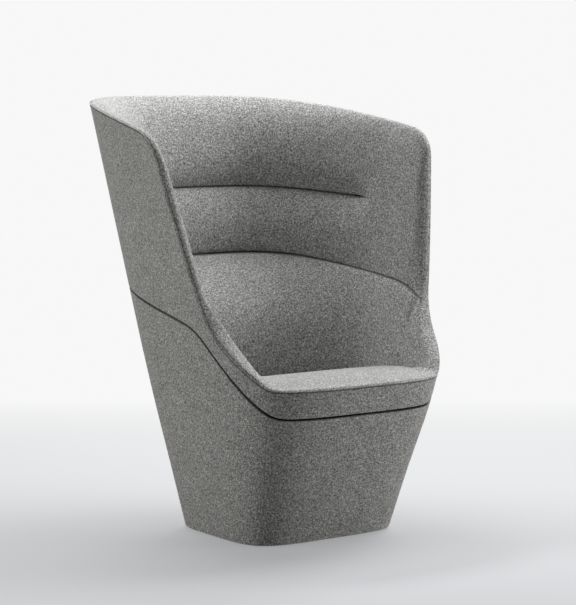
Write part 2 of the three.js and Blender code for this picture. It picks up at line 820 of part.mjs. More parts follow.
// Ribs behind the bucket pad carry it between the seat board and the skin
function padBackAtX(x, z) {
  let [low, high] = [0, Math.PI / 2];
  const pointAt = (angle) => {
    const at = stationAt(angle);
    return bucketBack(at, (z - bucketBottom) / (bucketTop(at) - bucketBottom));
  };
  for (let i = 0; i < halvings; i++) {
    const middle = (low + high) / 2;
    if (pointAt(middle).x > x) low = middle;
    else high = middle;
  }
  return pointAt(high).y;
}

const backRibHeightShares = [0, 0.33, 0.67, 1];
for (const [rank, reachX] of [["inner", backRibX[0]], ["outer", backRibX[1]]]) {
  for (const [side, sign] of [["left", -1], ["right", 1]]) {
    const outerX = reachX + ribThickness / 2;
    const innerX = reachX - ribThickness / 2;
    const heights = backRibHeightShares.map((share) => lerp(bucketBottom, backRibTop, share));
    const front = heights.map((z) => [padBackAtX(innerX, z) + ribEndClearance, z]);
    const rear = heights.map((z) => [reachAtX(outerX, z, boardDepth, 1) - ribEndClearance, z]).reverse();
    const rib = plateAtX([...front, ...rear], sign * reachX, ribThickness);
    addPiece("back_rib_" + rank + "_" + side, rib, birch);
  }
}

// Seat cushion: fills the bucket between the pads, crowned, with its sides drawn in
const seatFrontY = formPoint(-Math.PI / 2, seatSeamHeight).y;
const crownEaseShares = { front: 0.4, rear: 0.4 };
const seatProfile = new THREE.Path().moveTo(seatFrontY, seatFrontHeight);
const beforeCrown = lerp(seatCrown.y, seatFrontY, crownEaseShares.front);
const afterCrown = lerp(seatCrown.y, seatRear.y, crownEaseShares.rear);
seatProfile.quadraticCurveTo(beforeCrown, seatCrown.z, seatCrown.y, seatCrown.z);
seatProfile.quadraticCurveTo(afterCrown, seatCrown.z, seatRear.y, seatRear.z);
const seatHeightAt = heightOver(seatProfile);
const seatHalfWidth = armPlan.halfWidth - bucketArm;
const seatMiddle = new THREE.Vector3(0, (seatFrontY + seatRear.y) / 2, 0);
function cushionEdge(at, z) {
  if (Math.sin(at.angle) <= bucketEndShare) return atDepth(at.angle, z, rollWidth(at) + cushionClearance);
  const share = (z - bucketBottom) / (bucketTop(at) - bucketBottom);
  return bucketFace(at, Math.min(rollStartShare, share), cushionClearance).setZ(z);
}
function cushionHeight(x, y, ringShare) {
  const side = Math.abs(x) / seatHalfWidth;
  return seatHeightAt(y) - seatSideDrop * side ** seatSidePower - seatEdgeDrop * ringShare ** seatEdgePower;
}
const cushionRingShares = [1, 0.97, 0.9, 0.75, 0.5, 0.25];
function cushionTop(at, ringShare) {
  const first = cushionEdge(at, seatSeamHeight);
  const edge = cushionEdge(at, cushionHeight(first.x, first.y, 1));
  const point = seatMiddle.clone().lerp(edge, ringShare);
  return point.setZ(cushionHeight(point.x, point.y, ringShare));
}
const cushionRings = [
  stations.map((at) => cushionEdge(at, bucketBottom)),
  stations.map((at) => cushionEdge(at, (bucketBottom + seatSeamHeight) / 2)),
  ...cushionRingShares.map((share) => stations.map((at) => cushionTop(at, share))),
];
const cushionBase = seatMiddle.clone().setZ(bucketBottom);
const cushionPeak = seatMiddle.clone().setZ(seatHeightAt(seatMiddle.y));
addPiece("seat_cushion", loftRings(cushionRings, cushionBase, cushionPeak), wool);

chair.name = "high_back_lounge_chair";
export default chair;
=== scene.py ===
# High back lounge chair with acoustic wings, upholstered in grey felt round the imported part.
# Metres, +Z up, front towards -Y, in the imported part's own frame.
import json
import math

import bpy
import numpy as np
from mathutils import Matrix


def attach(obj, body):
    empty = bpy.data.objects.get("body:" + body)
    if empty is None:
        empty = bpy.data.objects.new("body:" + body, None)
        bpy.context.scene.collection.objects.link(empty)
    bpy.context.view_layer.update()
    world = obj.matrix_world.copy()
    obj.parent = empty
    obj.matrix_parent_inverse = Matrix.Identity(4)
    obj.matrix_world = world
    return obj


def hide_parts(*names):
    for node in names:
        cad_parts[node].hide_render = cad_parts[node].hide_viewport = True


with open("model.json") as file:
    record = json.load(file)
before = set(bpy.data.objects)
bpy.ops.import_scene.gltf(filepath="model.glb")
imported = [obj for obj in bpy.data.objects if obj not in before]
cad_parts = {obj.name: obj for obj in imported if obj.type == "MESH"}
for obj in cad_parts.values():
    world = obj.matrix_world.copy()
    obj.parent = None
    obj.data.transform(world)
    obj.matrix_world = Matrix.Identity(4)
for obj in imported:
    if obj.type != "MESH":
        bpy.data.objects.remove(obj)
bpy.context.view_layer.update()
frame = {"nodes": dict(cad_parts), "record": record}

# Plan sections of the outside: squares rounded by a power, whose width changes by the taper backwards
FLOOR_PLAN = {
    "height": 0.0,
    "half_width": 0.2463,
    "half_depth": 0.2087,
    "centre_y": -0.1107,
    "taper": 0.013,
    "power": 4.46,
}
ARM_PLAN = {
    "height": 0.470,
    "half_width": 0.3315,
    "half_depth": 0.3718,
    "centre_y": -0.1192,
    "taper": -0.014,
    "power": 3.75,
}
RIM_PLAN = {
    "height": 1.250,
    "half_width": 0.4864,
    "half_depth": 0.600,
    "centre_y": -0.0958,
    "taper": -0.231,
    "power": 4.1,
}
PLAN_EASE = 0.060
FRONT_SWELL = 0.006
PLANS = (FLOOR_PLAN, ARM_PLAN, RIM_PLAN)

# Opening seam in side view, as (y, z), with the length over which each corner is eased
SEAT_SEAM = 0.430
ARM_FOOT = (-0.422, SEAT_SEAM)
WING_FOOT = (-0.264, 0.577)
WING_TOP = (-0.150, 1.072)
RIM_MIDDLE = (0.216, 1.143)
RIM_BACK = (0.483, 1.168)
ARM_FOOT_EASE = 0.020
WING_FOOT_EASE = 0.073
WING_TOP_EASE = 0.074
CURVE_OVERRUN = 0.060

# Shadow gap between plinth and shell in side view
GAP_FRONT = 0.357
GAP_FOOT = (-0.416, GAP_FRONT)
GAP_SHOULDER = (-0.199, 0.5775)
GAP_BACK = (0.312, 0.674)
GAP_FOOT_EASE = 0.020
GAP_SHOULDER_EASE = 0.056
GAP_WIDTH = 0.0062
GAP_ROUNDING = 0.0028
# Painted shade on the felt where it turns under into the shadow gap, darkest deepest in
GAP_SHADE = 0.8
GAP_SHADE_POWER = 6

# Seam between bucket and wings, and the sewn channel in the back above it
BUCKET_TIP = (-0.300, 0.598)
BUCKET_KNEE = (-0.190, 0.660)
BUCKET_BACK = (0.340, 0.727)
BUCKET_EASE = 0.060
CHANNEL_FRONT = (0.011, 0.885)
CHANNEL_BACK = (0.401, 0.915)

# Layers, from the outside in
COVER_THICKNESS = 0.010
PAD_DEPTH = 0.0192
BOARD_DEPTH = 0.0260
FLOOR_GAP = 0.005

# Edge roll round the opening
ROLL_WING = 0.017
ROLL_ARM = 0.045
ROLL_ARM_FOOT = 0.035
ROLL_BACK = 0.038
ROLL_SEAT = 0.025
ROLL_HEIGHT_RIM = 0.0070
ROLL_HEIGHT_ARM = 0.0108
ROLL_OVER_SEAT = 0.0028
ROLL_OUTER_POWER = 2.7
ROLL_INNER_POWER = 2.0
ARM_INNER_POWER = 3.4
ROLL_TONGUE = 0.010
TONGUE_DROP = 0.0006
TONGUE_SETBACK = 0.002
TONGUE_FOOT_SETBACK = 0.0025
ROLL_SOLE_RISE = 0.0006
ROLL_SOLE_DEPTH = 0.003

# Turn over the roll's crown at which it ends, from the seam on
ROLL_END_WING = math.radians(130)
ROLL_END_ARM = math.radians(148)
ROLL_END_SEAT = math.radians(74)
ROLL_END_BACK = math.radians(160)

# Pads: thickness measured in from the outside of the chair
WING_SIDE = 0.034
WING_BACK = 0.092
SEAM_SIDE = 0.029
SEAM_BACK = 0.058
CHANNEL_DEPTH = 0.036
PAD_SQUARENESS = 3.3
BUCKET_ARM = 0.050
BUCKET_CORNER = 0.062
BUCKET_BACK_FOOT = 0.165
BUCKET_BACK_TOP = 0.164
BUCKET_BACK_BELLY = 0.042
BUCKET_FRONT = 0.034
BUCKET_SQUARENESS = 2.6
BUCKET_FOAM_FOOT = 0.070
BUCKET_FOAM_TOP = 0.030
BUCKET_ROLL_START = 0.42
BUCKET_SLENDER = (0.45, 1.0)
BUCKET_TUCK = (0.35, 0.8)
BUCKET_REACH = -0.78
PAD_SEAM_CLEARANCE = 0.0006
PAD_TONGUE_CLEARANCE = 0.0016
PAD_ROLL_CLEARANCE = 0.0012
HIDDEN_SIDE_CLEARANCE = 0.006
HIDDEN_TOP_CLEARANCE = 0.001
TIP_REACH = 0.012
TIP_THICKNESS = 0.0008
TIP_SINK = 0.003

# Swell of the wing pad and its bands, as shares of a band's growth or height, on the wings and on the back
BAND_MOST = (0.95, 0.72)
BAND_LEAD = (0.45, 0.22)
BAND_SETTLE = 0.36
FULL_HEIGHT = 0.250
PLAIN_CHANNEL_SHARE = 0.46
UPPER_FULLEST = 0.36
LOWER_FULLEST = 0.5
PUFF_POWER = 1.8
PAD_HIDDEN_SHARES = (0, 0.33, 0.67, 1)
STEEPEST_START = 12
FLATTEST_START = 0.001

# Seat cushion
SEAT_BOARD_TOP = 0.3403
SEAT_FRONT_HEIGHT = 0.438
SEAT_CROWN = (-0.345, 0.449)
SEAT_REAR = (0.045, 0.386)
SEAT_SIDE_DROP = 0.003
SEAT_EDGE_DROP = 0.009
SEAT_BULGE = 0.4
SEAT_SIDE_POWER = 4
SEAT_EDGE_REACH = 0.007
SEAT_FRONT_REACH = 0.05
SEAT_WELT = 0.004
SEAT_TUCK = 0.004
SKIRT_HEIGHTS = (0.400, 0.370, SEAT_BOARD_TOP)
CUSHION_CLEARANCE = 0.0012

# Where the form turns, as shares of the way from the middle to the back (1) or the front (-1)
BACK_TURN = (0.1, 0.85)
FRONT_TURN = (-0.95, -0.55)
BANDED = (0.2, 0.36)
CHANNEL_SETTLE = (0.1, 0.4)
ARM_FOLLOW = (-0.25, 0.05)

# Where the roll widens, as shares of the fall from wing to seat, and the height at which it is widest
ARM_WIDEN = (0.71, 0.92)
ARM_CRISP = (0, 0.45)
ARM_WIDEST = 0.535

# Heights of the opening over the bucket's seam, or over the seat's seam, between which a form changes
WING_START = (-0.015, 0.060)
ROUND_START = (-0.110, 0.040)
SEAT_MERGE = (0.005, 0.038)

# Sewn lines: the groove of a seam, its raised shoulders, and the topstitch beside the opening seam; their
# SHADE values are painted shade laid along them
SEAM_SINK = 0.0022
SEAM_HALF_WIDTH = 0.0012
SHOULDER_RISE = 0.0007
SHOULDER_AT = 0.0044
SHOULDER_HALF_WIDTH = 0.0022
CREASE_HALF_WIDTH = 0.0024
RIDGE_AT = 0.0038
RIDGE_RISE = 0.0014
RIDGE_HALF_WIDTH = 0.0019
TOPSTITCH_AT = 0.0072
TOPSTITCH_SINK = 0.0012
TOPSTITCH_HALF_WIDTH = 0.0009
TOPSTITCH_SHADE = 0.45
INNER_SEAM_SINK = 0.0012
INNER_SEAM_SHADE = 0.30
CORNER_SEAM_SINK = 0.0005
CORNER_SEAM_SHADE = 0.12
BACK_SEAM_SINK = 0.0016
BACK_SEAM_SHADE = 0.5
CROSSING_SHADE = 0.7
CROSSING_TURN = (0.42 * math.pi, 0.55 * math.pi)
STITCH_LENGTH = 0.0042
STITCH_PITCH = 0.0060
THREAD_RADIUS = 0.00050
STITCH_STANDOFF = 0.00020
STITCH_DIP = 0.0007

# Angles in plan, counted from the right, and of the upright seams in cover and back pads
BACK = math.pi / 2
FRONT = -math.pi / 2
CORNER_SEAM = -math.pi / 4
PAD_SEAM = 1.08

# Rows and columns of the felt grids, closer beside a seam
COLUMNS_PER_HALF = 170
PLINTH_ROWS = 54
SHELL_ROWS = 70
COVER_EDGE_ROWS = 7
COVER_INNER_ROWS = 5
ROLL_ROWS = 22
BAND_ROWS = 30
PUFF_ROWS = 26
PLAIN_PUFF_ROWS = 40
BUCKET_STRAIGHT_ROWS = 22
BUCKET_ROUND_ROWS = 30
BUCKET_HIDDEN_ROWS = 6
SEAT_RINGS = 44
MILLIMETRE = 0.001
BESIDE_SEAM = np.array([0.9, 1.8, 3.0, 4.6, 6.6, 9.5]) * MILLIMETRE
BESIDE_SEAM_ROOM = 1.4
BELOW_SEAM = np.array([11.0, 8.5, 6.8, 5.4, 4.3, 3.4, 2.6, 1.9, 1.2, 0.6, 0.0]) * MILLIMETRE
OVER_SEAM = MILLIMETRE * np.array(
    [0, 0.4, 0.8, 1.3, 1.9, 2.6, 3.3, 4.0, 4.7, 5.4, 6.0, 6.4, 6.8, 7.2, 7.6, 8.0, 8.6, 9.6, 10.8]
)
SEAT_EDGE_SHARES = (0, 0.002, 0.005, 0.009, 0.014, 0.02, 0.028)
SEAT_RING_SHARES = (0.04, 0.96)

# Fineness of the sums
PATH_STEPS = 160
SEAT_PATH_STEPS = 120
SEAT_EDGE_TRIES = 3
HALVINGS = 40
FINE_ANGLES = 3601
ROLL_SAMPLES = 400
ROLL_CROWDING = 1.3
NEAR_END = 0.985
MOST_STRETCH = 4.4
STRETCH_TURN = 0.006
STEP = 1e-4
WELD = 1e-6
SMOOTH_BELOW = math.radians(48)


def lerp(a, b, share):
    return a + (b - a) * share


def ease(value, low, high):
    """Smooth step from 0 at the low value to 1 at the high one."""
    share = np.clip((value - low) / (high - low), 0, 1)
    return share * share * (3 - 2 * share)


def quarter(rows):
    return np.linspace(0, math.pi / 2, rows)[None, :]


def unit(vectors):
    return vectors / np.linalg.norm(vectors, axis=-1, keepdims=True)


# Side view curves, read as height over y
def eased_path(points, eases):
    """Straight runs between (y, z) points whose inner corners are rounded by a parabola."""
    points = [np.array(point, float) for point in points]
    path = [points[0]]
    for before, corner, after, reach in zip(points, points[1:], points[2:], eases):
        start = corner + reach * unit(before - corner)
        end = corner + reach * unit(after - corner)
        for share in np.linspace(0, 1, PATH_STEPS):
            path.append(lerp(lerp(start, corner, share), lerp(corner, end, share), share))
    return np.array(path + [points[-1]])


def height_over(path):
    return lambda y: np.interp(y, path[:, 0], path[:, 1])


FRONT_Y = ARM_PLAN["centre_y"] - ARM_PLAN["half_depth"] - CURVE_OVERRUN
wing_front = eased_path(
    [(FRONT_Y, SEAT_SEAM), ARM_FOOT, WING_FOOT, WING_TOP, RIM_MIDDLE],
    [ARM_FOOT_EASE, WING_FOOT_EASE, WING_TOP_EASE],
)[:-1]
rim_middle, rim_back = np.array(RIM_MIDDLE), np.array(RIM_BACK)
rim = [
    lerp(lerp(wing_front[-1], rim_middle, share), lerp(rim_middle, rim_back, share), share)
    for share in np.linspace(0, 1, PATH_STEPS)[1:]
]
opening_over = height_over(np.vstack([wing_front, rim]))
gap_over = height_over(
    eased_path([(FRONT_Y, GAP_FRONT), GAP_FOOT, GAP_SHOULDER, GAP_BACK], [GAP_FOOT_EASE, GAP_SHOULDER_EASE])
)
bucket_seam_over = height_over(eased_path([BUCKET_TIP, BUCKET_KNEE, BUCKET_BACK], [BUCKET_EASE]))


def channel_over(y):
    slope = (CHANNEL_BACK[1] - CHANNEL_FRONT[1]) / (CHANNEL_BACK[0] - CHANNEL_FRONT[0])
    return CHANNEL_FRONT[1] + slope * (y - CHANNEL_FRONT[0])


# The outside form: for each angle round the plan a ruling runs up through the three plans
def soft_ramp(distance, reach):
    """Nothing below zero, one to one above it, with the corner eased over a reach on either side."""
    eased = (distance + reach) ** 2 / (4 * reach)
    return np.where(distance <= -reach, 0.0, np.where(distance >= reach, distance, eased))


def plan_point(plan, angle, side, back, front, power):
    power = plan["power"] if power is None else power
    across, along = np.cos(angle), np.sin(angle)
    reach = (np.abs(across) ** power + np.abs(along) ** power) ** (-1 / power)
    across, along = reach * across, reach * along
    half_depth = plan["half_depth"] - np.where(along > 0, back, front)
    half_width = (plan["half_width"] - side) * (1 + plan["taper"] * along)
    return half_width * across, plan["centre_y"] + half_depth * along


def form(angle, z, side=0.0, back=0.0, front=0.0, power=None):
    """Point of the form at an angle and a height, drawn in from the outside by its insets."""
    floor, arms, top = (plan_point(plan, angle, side, back, front, power) for plan in PLANS)
    above = soft_ramp(z - ARM_PLAN["height"], PLAN_EASE)
    below = z - ARM_PLAN["height"] - above
    above = above / (RIM_PLAN["height"] - ARM_PLAN["height"])
    below = below / (ARM_PLAN["height"] - FLOOR_PLAN["height"])
    x, y = (mid + below * (mid - low) + above * (high - mid) for low, mid, high in zip(floor, arms, top))
    share = np.clip(z / ARM_PLAN["height"], 0, 1)
    swell = FRONT_SWELL * np.sin(math.pi * share * share) ** 2 * (1 - np.sin(angle)) / 2
    return np.stack(np.broadcast_arrays(x + swell * np.cos(angle), y + swell * np.sin(angle), z), -1)


def outward(angle, z):
    across = form(angle + STEP, z) - form(angle - STEP, z)
    up = form(angle, z + STEP) - form(angle, z - STEP)
    return unit(np.cross(across, up))


def at_depth(angle, z, depth):
    """A point at the same height that lies in from the outside by a depth measured square to it."""
    normal = outward(angle, z)
    normal[..., 2] = 0
    level = (normal**2).sum(-1)
    return form(angle, z) - normal * (depth / level)[..., None]


def height_on_ruling(angle, height_at):
    low = np.full_like(angle, FLOOR_PLAN["height"])
    high = np.full_like(angle, RIM_PLAN["height"])
    for _ in range(HALVINGS):
        middle = (low + high) / 2
        below = middle < height_at(form(angle, middle)[..., 1])
        low, high = np.where(below, middle, low), np.where(below, high, middle)
    return (low + high) / 2


def ruling_stretch(angle, height_at):
    """How much longer a step down the ruling is than the same step square to a curve."""
    before, after = (height_on_ruling(angle + turn, height_at) for turn in (-STRETCH_TURN, STRETCH_TURN))
    run = np.linalg.norm(form(angle + STRETCH_TURN, before) - form(angle - STRETCH_TURN, before), axis=-1)
    return np.hypot(1, (after - before) / run)


def spread_angles():
    """Angles of the columns, evenly along the opening and closer where the plan turns or a seam runs."""
    fine = np.linspace(FRONT, BACK, FINE_ANGLES)
    z = height_on_ruling(fine, opening_over)
    points, normals = form(fine, z), outward(fine, z)
    turn = np.linalg.norm(np.diff(normals, axis=0), axis=1) * ARM_PLAN["half_width"] / 2
    travel = np.concatenate([[0], np.cumsum(np.linalg.norm(np.diff(points, axis=0), axis=1) + turn)])
    even = np.linspace(0, travel[-1], COLUMNS_PER_HALF + 1)
    before = -BESIDE_SEAM[::-1]
    for seam in (CORNER_SEAM, PAD_SEAM):
        middle = np.interp(seam, fine, travel)
        even = even[np.abs(even - middle) > BESIDE_SEAM[-1] * BESIDE_SEAM_ROOM]
        even = np.concatenate([even, middle + before, [middle], middle + BESIDE_SEAM])
    even = np.sort(np.concatenate([even, travel[-1] + before]))
    right = np.interp(even, travel, fine)
    right[-1] = BACK
    left = math.pi - right[1:-1][::-1]
    return np.concatenate([right, left])


class Columns:
    """What every column of felt needs to know: its angle, the curves on its ruling and its shares."""

    def __init__(self, angle):
        self.angle = angle
        along = np.sin(angle)
        self.opening = height_on_ruling(angle, opening_over)
        self.stretch = np.minimum(MOST_STRETCH, ruling_stretch(angle, opening_over))
        self.gap = height_on_ruling(angle, gap_over)
        self.gap_stretch = ruling_stretch(angle, gap_over)
        self.bucket_seam = height_on_ruling(angle, bucket_seam_over)
        self.channel = height_on_ruling(angle, channel_over)
        self.back = ease(along, *BACK_TURN)
        self.front = 1 - ease(along, *FRONT_TURN)
        self.arm = ease(1 - ease(self.opening, SEAT_SEAM, WING_TOP[1]), *ARM_WIDEN)
        narrowed = 1 - ease(self.opening, SEAT_SEAM, ARM_WIDEST)
        side = lerp(ROLL_WING, lerp(ROLL_ARM, ROLL_ARM_FOOT, narrowed), self.arm)
        self.roll = lerp(lerp(side, ROLL_SEAT, self.front), ROLL_BACK, self.back)
        self.banded = ease(along, *BANDED)
        self.follow = 1 - ease(along, *ARM_FOLLOW)
        self.merge = 1 - ease(self.opening - SEAT_SEAM, *SEAT_MERGE)
        self.wing = ease(self.opening - self.bucket_seam, *WING_START)
        self.rounded = ease(self.opening - self.bucket_seam, *ROUND_START)
        self.crisp = ease(self.arm, *ARM_CRISP)


ring = Columns(spread_angles())
col = {name: value[:, None] for name, value in vars(ring).items()}


# Making meshes
def clean_selection():
    bpy.ops.object.select_all(action="DESELECT")


def felt_grid(name, grid, seams=None, closed_round=True):
    """A grid moulded over the form: columns run round the chair, rows round a closed section."""
    seams = np.zeros(grid.shape[:2]) if seams is None else np.broadcast_to(seams, grid.shape[:2])
    grid = np.concatenate([grid, grid[:, :1]], axis=1)
    seams = np.concatenate([seams, seams[:, :1]], axis=1)
    if closed_round:
        grid = np.concatenate([grid, grid[:1]])
        seams = np.concatenate([seams, seams[:1]])
    columns, rows = grid.shape[:2]
    clean_selection()
    bpy.ops.mesh.primitive_grid_add(x_subdivisions=rows - 1, y_subdivisions=columns - 1)
    piece = bpy.context.object
    piece.name = piece.data.name = name
    piece.data.vertices.foreach_set("co", np.ascontiguousarray(grid, dtype=np.float32).ravel())
    # The seam attribute carries painted shade along seams, creases and the gap's edges
    painted_shade = piece.data.attributes.new("seam", "FLOAT", "POINT")
    painted_shade.data.foreach_set("value", np.ascontiguousarray(seams, dtype=np.float32).ravel())
    bpy.ops.object.mode_set(mode="EDIT")
    bpy.ops.mesh.select_all(action="SELECT")
    bpy.ops.mesh.remove_doubles(threshold=WELD)
    bpy.ops.mesh.delete_loose()
    if not closed_round:
        bpy.ops.mesh.select_all(action="DESELECT")
        only_rims = {"use_wire": False, "use_multi_face": False, "use_verts": False}
        bpy.ops.mesh.select_non_manifold(extend=False, **only_rims)
        bpy.ops.mesh.fill_holes(sides=0)
    bpy.ops.mesh.select_all(action="SELECT")
    bpy.ops.mesh.normals_make_consistent(inside=False)
    bpy.ops.object.mode_set(mode="OBJECT")
    bpy.ops.object.shade_smooth_by_angle(angle=SMOOTH_BELOW)
    return piece


def grid_normals(grid):
    round_step = np.roll(grid, -1, axis=0) - np.roll(grid, 1, axis=0)
    down_step = np.gradient(grid, axis=1)
    normal = np.cross(down_step, round_step)
    length = np.linalg.norm(normal, axis=-1, keepdims=True)
    return normal / np.where(length > 0, length, 1)


def seam_line(distance):
    """How far a seam pulls the felt in at a distance from its line, with shoulders that stand up."""
    groove = SEAM_SINK * np.exp(-((distance / SEAM_HALF_WIDTH) ** 2))
    shoulder = SHOULDER_RISE * np.exp(-(((np.abs(distance) - SHOULDER_AT) / SHOULDER_HALF_WIDTH) ** 2))
    return groove - shoulder


def seam_dip_and_shade(distance, half_width=SEAM_HALF_WIDTH):
    """How much of a seam's dip and painted shade lies at a distance from its line."""
    return np.exp(-((distance / half_width) ** 2))


def off_upright_seam(z, *seams):
    """Distance from the nearest of some upright seams, which lie on rulings of the form."""
    here = form(col["angle"], z)
    away = [np.linalg.norm(here - form(np.full_like(col["angle"], seam), z), axis=-1) for seam in seams]
    return np.minimum.reduce(away)


def cover_seams(z):
    """Sink and painted shade of the flat seams down both front corners and down the middle of the back."""
    corner = seam_dip_and_shade(off_upright_seam(z, CORNER_SEAM, math.pi - CORNER_SEAM))
    back = seam_dip_and_shade(off_upright_seam(z, BACK))
    sink = CORNER_SEAM_SINK * corner + BACK_SEAM_SINK * back
    shade = CORNER_SEAM_SHADE * corner + BACK_SEAM_SHADE * back
    return sink, shade


def finish_piece(piece, body, look, nodes):
    piece.data.materials.clear()
    piece.data.materials.append(look)
    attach(piece, body)
    if nodes:
        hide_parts(*nodes)


# Materials
class Nodes:
    """Short hand for a node tree: new nodes with their values, and links by name."""

    def __init__(self, name):
        self.material = bpy.data.materials.new(name)
        self.material.use_nodes = True
        self.tree = self.material.node_tree
        self.shader = self.tree.nodes["Principled BSDF"]
        self.coords = self.add("ShaderNodeTexCoord").outputs["Object"]

    def put(self, value, socket):
        """A link where the value comes out of another node, and a constant otherwise."""
        if isinstance(value, bpy.types.NodeSocket):
            self.tree.links.new(value, socket)
        else:
            socket.default_value = value

    def add(self, kind, inputs=None, **settings):
        node = self.tree.nodes.new(kind)
        for key, value in settings.items():
            setattr(node, key, value)
        for key, value in (inputs or {}).items():
            self.put(value, node.inputs[key])
        return node

    def noise(self, scale, detail=2.0, roughness=0.5, vector=None):
        inputs = {"Vector": vector or self.coords, "Scale": scale, "Detail": detail, "Roughness": roughness}
        return self.add("ShaderNodeTexNoise", inputs).outputs["Fac"]

    def stretched(self, scale):
        return self.add("ShaderNodeMapping", {"Vector": self.coords, "Scale": scale}).outputs["Vector"]

    def ramp(self, value, low, high, new_low, new_high):
        inputs = {"Value": value, "From Min": low, "From Max": high, "To Min": new_low, "To Max": new_high}
        return self.add("ShaderNodeMapRange", inputs).outputs["Result"]

    def maths(self, operation, a, b=0.0):
        return self.add("ShaderNodeMath", {0: a, 1: b}, operation=operation).outputs["Value"]

    def mix(self, factor, a, b):
        node = self.add("ShaderNodeMix", {"Factor": factor}, data_type="RGBA")
        colours = [socket for socket in node.inputs if socket.type == "RGBA"]
        for value, socket in zip((a, b), colours):
            self.put(value, socket)
        return next(socket for socket in node.outputs if socket.type == "RGBA")

    def bump(self, height, distance, strength):
        inputs = {"Height": height, "Distance": distance, "Strength": strength}
        return self.add("ShaderNodeBump", inputs).outputs["Normal"]

    def shade(self, **sockets):
        for key, value in sockets.items():
            self.put(value, self.shader.inputs[key.replace("_", " ")])
        return self.material


FELT_DARK = (0.105, 0.105, 0.101, 1)
FELT_MIDDLE = (0.360, 0.360, 0.350, 1)
FELT_LIGHT = (0.800, 0.798, 0.780, 1)
# Painted shade for seams, creases and the gap's turned edges, mixed in by the seam attribute
FELT_PAINTED_SHADE = (0.045, 0.045, 0.044, 1)
SEAM_SHADE = 0.75
FELT_NAP = 0.0005
BIRCH_AUTUMN = (0.60, 0.43, 0.25, 1)
BIRCH_SPRING = (0.78, 0.62, 0.41, 1)
GLUE_LINE = (0.42, 0.27, 0.14, 1)
GRAIN_DEPTH = 0.0003
STAIN_DEEP = (0.012, 0.012, 0.013, 1)
STAIN_WORN = (0.035, 0.035, 0.037, 1)
SHEET_FIBRE = 0.0003
PLASTIC_CLEAN = (0.022, 0.022, 0.023, 1)
PLASTIC_SCUFFED = (0.045, 0.045, 0.046, 1)
MOULD_GRAIN = 0.0001
ZINC_DULL = (0.56, 0.57, 0.58, 1)
ZINC_BRIGHT = (0.74, 0.75, 0.76, 1)
# Painted shade between the thread's strands
THREAD_PAINTED_SHADE = (0.07, 0.07, 0.068, 1)
THREAD_LIGHT = (0.16, 0.16, 0.155, 1)
THREAD_TWIST = 0.0001


def melange_felt():
    """Fulled wool: light and dark fibres mixed, with flecks of a few millimetres, a fine nap, and painted
    shade along its seams and creases.
    """
    n = Nodes("melange_felt")
    fleck = n.noise(scale=240, detail=3, roughness=0.62)
    nap = n.noise(scale=900, detail=4, roughness=0.7)
    fibre = n.noise(scale=420, detail=3, roughness=0.6, vector=n.stretched((1.0, 1.0, 0.22)))
    cloud = n.noise(scale=26, detail=2)
    mixed = n.maths("ADD", n.ramp(fleck, 0.3, 0.7, -0.9, 0.9), n.ramp(nap, 0.3, 0.7, -0.25, 0.25))
    mixed = n.maths("ADD", mixed, n.ramp(fibre, 0.3, 0.7, -0.3, 0.3))
    mixed = n.maths("ADD", mixed, n.ramp(cloud, 0.3, 0.7, -0.05, 0.05))
    dark = n.mix(n.ramp(mixed, -0.8, 0.0, 0.0, 1.0), FELT_DARK, FELT_MIDDLE)
    colour = n.mix(n.ramp(mixed, 0.0, 0.8, 0.0, 1.0), dark, FELT_LIGHT)
    # Painted shade: the seam attribute darkens the felt in seams, creases and the gap
    painted_shade = n.add("ShaderNodeAttribute", attribute_name="seam").outputs["Fac"]
    colour = n.mix(n.maths("MULTIPLY", painted_shade, SEAM_SHADE), colour, FELT_PAINTED_SHADE)
    rough = n.ramp(nap, 0.2, 0.8, 0.86, 0.98)
    relief = n.maths("ADD", n.maths("MULTIPLY", fibre, 0.6), n.maths("MULTIPLY", nap, 0.5))
    relief = n.maths("ADD", relief, n.maths("MULTIPLY", fleck, 0.35))
    return n.shade(
        Base_Color=colour,
        Roughness=rough,
        Normal=n.bump(relief, FELT_NAP, 0.55),
        Sheen_Weight=0.22,
        Sheen_Roughness=0.55,
        Specular_IOR_Level=0.18,
    )


def birch_ply():
    """Rotary cut birch: long grain along the board, and the glue lines of its plies at the edges."""
    n = Nodes("birch_plywood")
    grain = n.noise(scale=60, detail=5, roughness=0.6, vector=n.stretched((1.0, 0.05, 1.0)))
    plies = {"Vector": n.coords, "Scale": 110.0, "Distortion": 0.6}
    ply = n.add("ShaderNodeTexWave", plies, bands_direction="Z")
    colour = n.mix(n.ramp(grain, 0.35, 0.7, 0, 1), BIRCH_AUTUMN, BIRCH_SPRING)
    colour = n.mix(n.ramp(ply.outputs["Fac"], 0.0, 1.0, 0.0, 0.25), colour, GLUE_LINE)
    return n.shade(
        Base_Color=colour,
        Roughness=n.ramp(grain, 0, 1, 0.5, 0.75),
        Normal=n.bump(grain, GRAIN_DEPTH, 0.4),
    )


def black_sheet():
    """Board and sheet stained black, with the stain thinner on the fibres that stand up."""
    n = Nodes("black_sheet")
    fibre = n.noise(scale=700, detail=4, roughness=0.7)
    return n.shade(
        Base_Color=n.mix(fibre, STAIN_DEEP, STAIN_WORN),
        Roughness=0.85,
        Normal=n.bump(fibre, SHEET_FIBRE, 0.5),
        Specular_IOR_Level=0.2,
    )


def black_moulded():
    """Moulded plastic with a fine mould grain and a few scuffs."""
    n = Nodes("black_moulded")
    grain = n.noise(scale=1500, detail=2)
    scuff = n.noise(scale=40, detail=4, roughness=0.65)
    return n.shade(
        Base_Color=n.mix(n.ramp(scuff, 0.45, 0.75, 0, 1), PLASTIC_CLEAN, PLASTIC_SCUFFED),
        Roughness=n.ramp(scuff, 0.3, 0.7, 0.42, 0.6),
        Normal=n.bump(grain, MOULD_GRAIN, 0.5),
    )


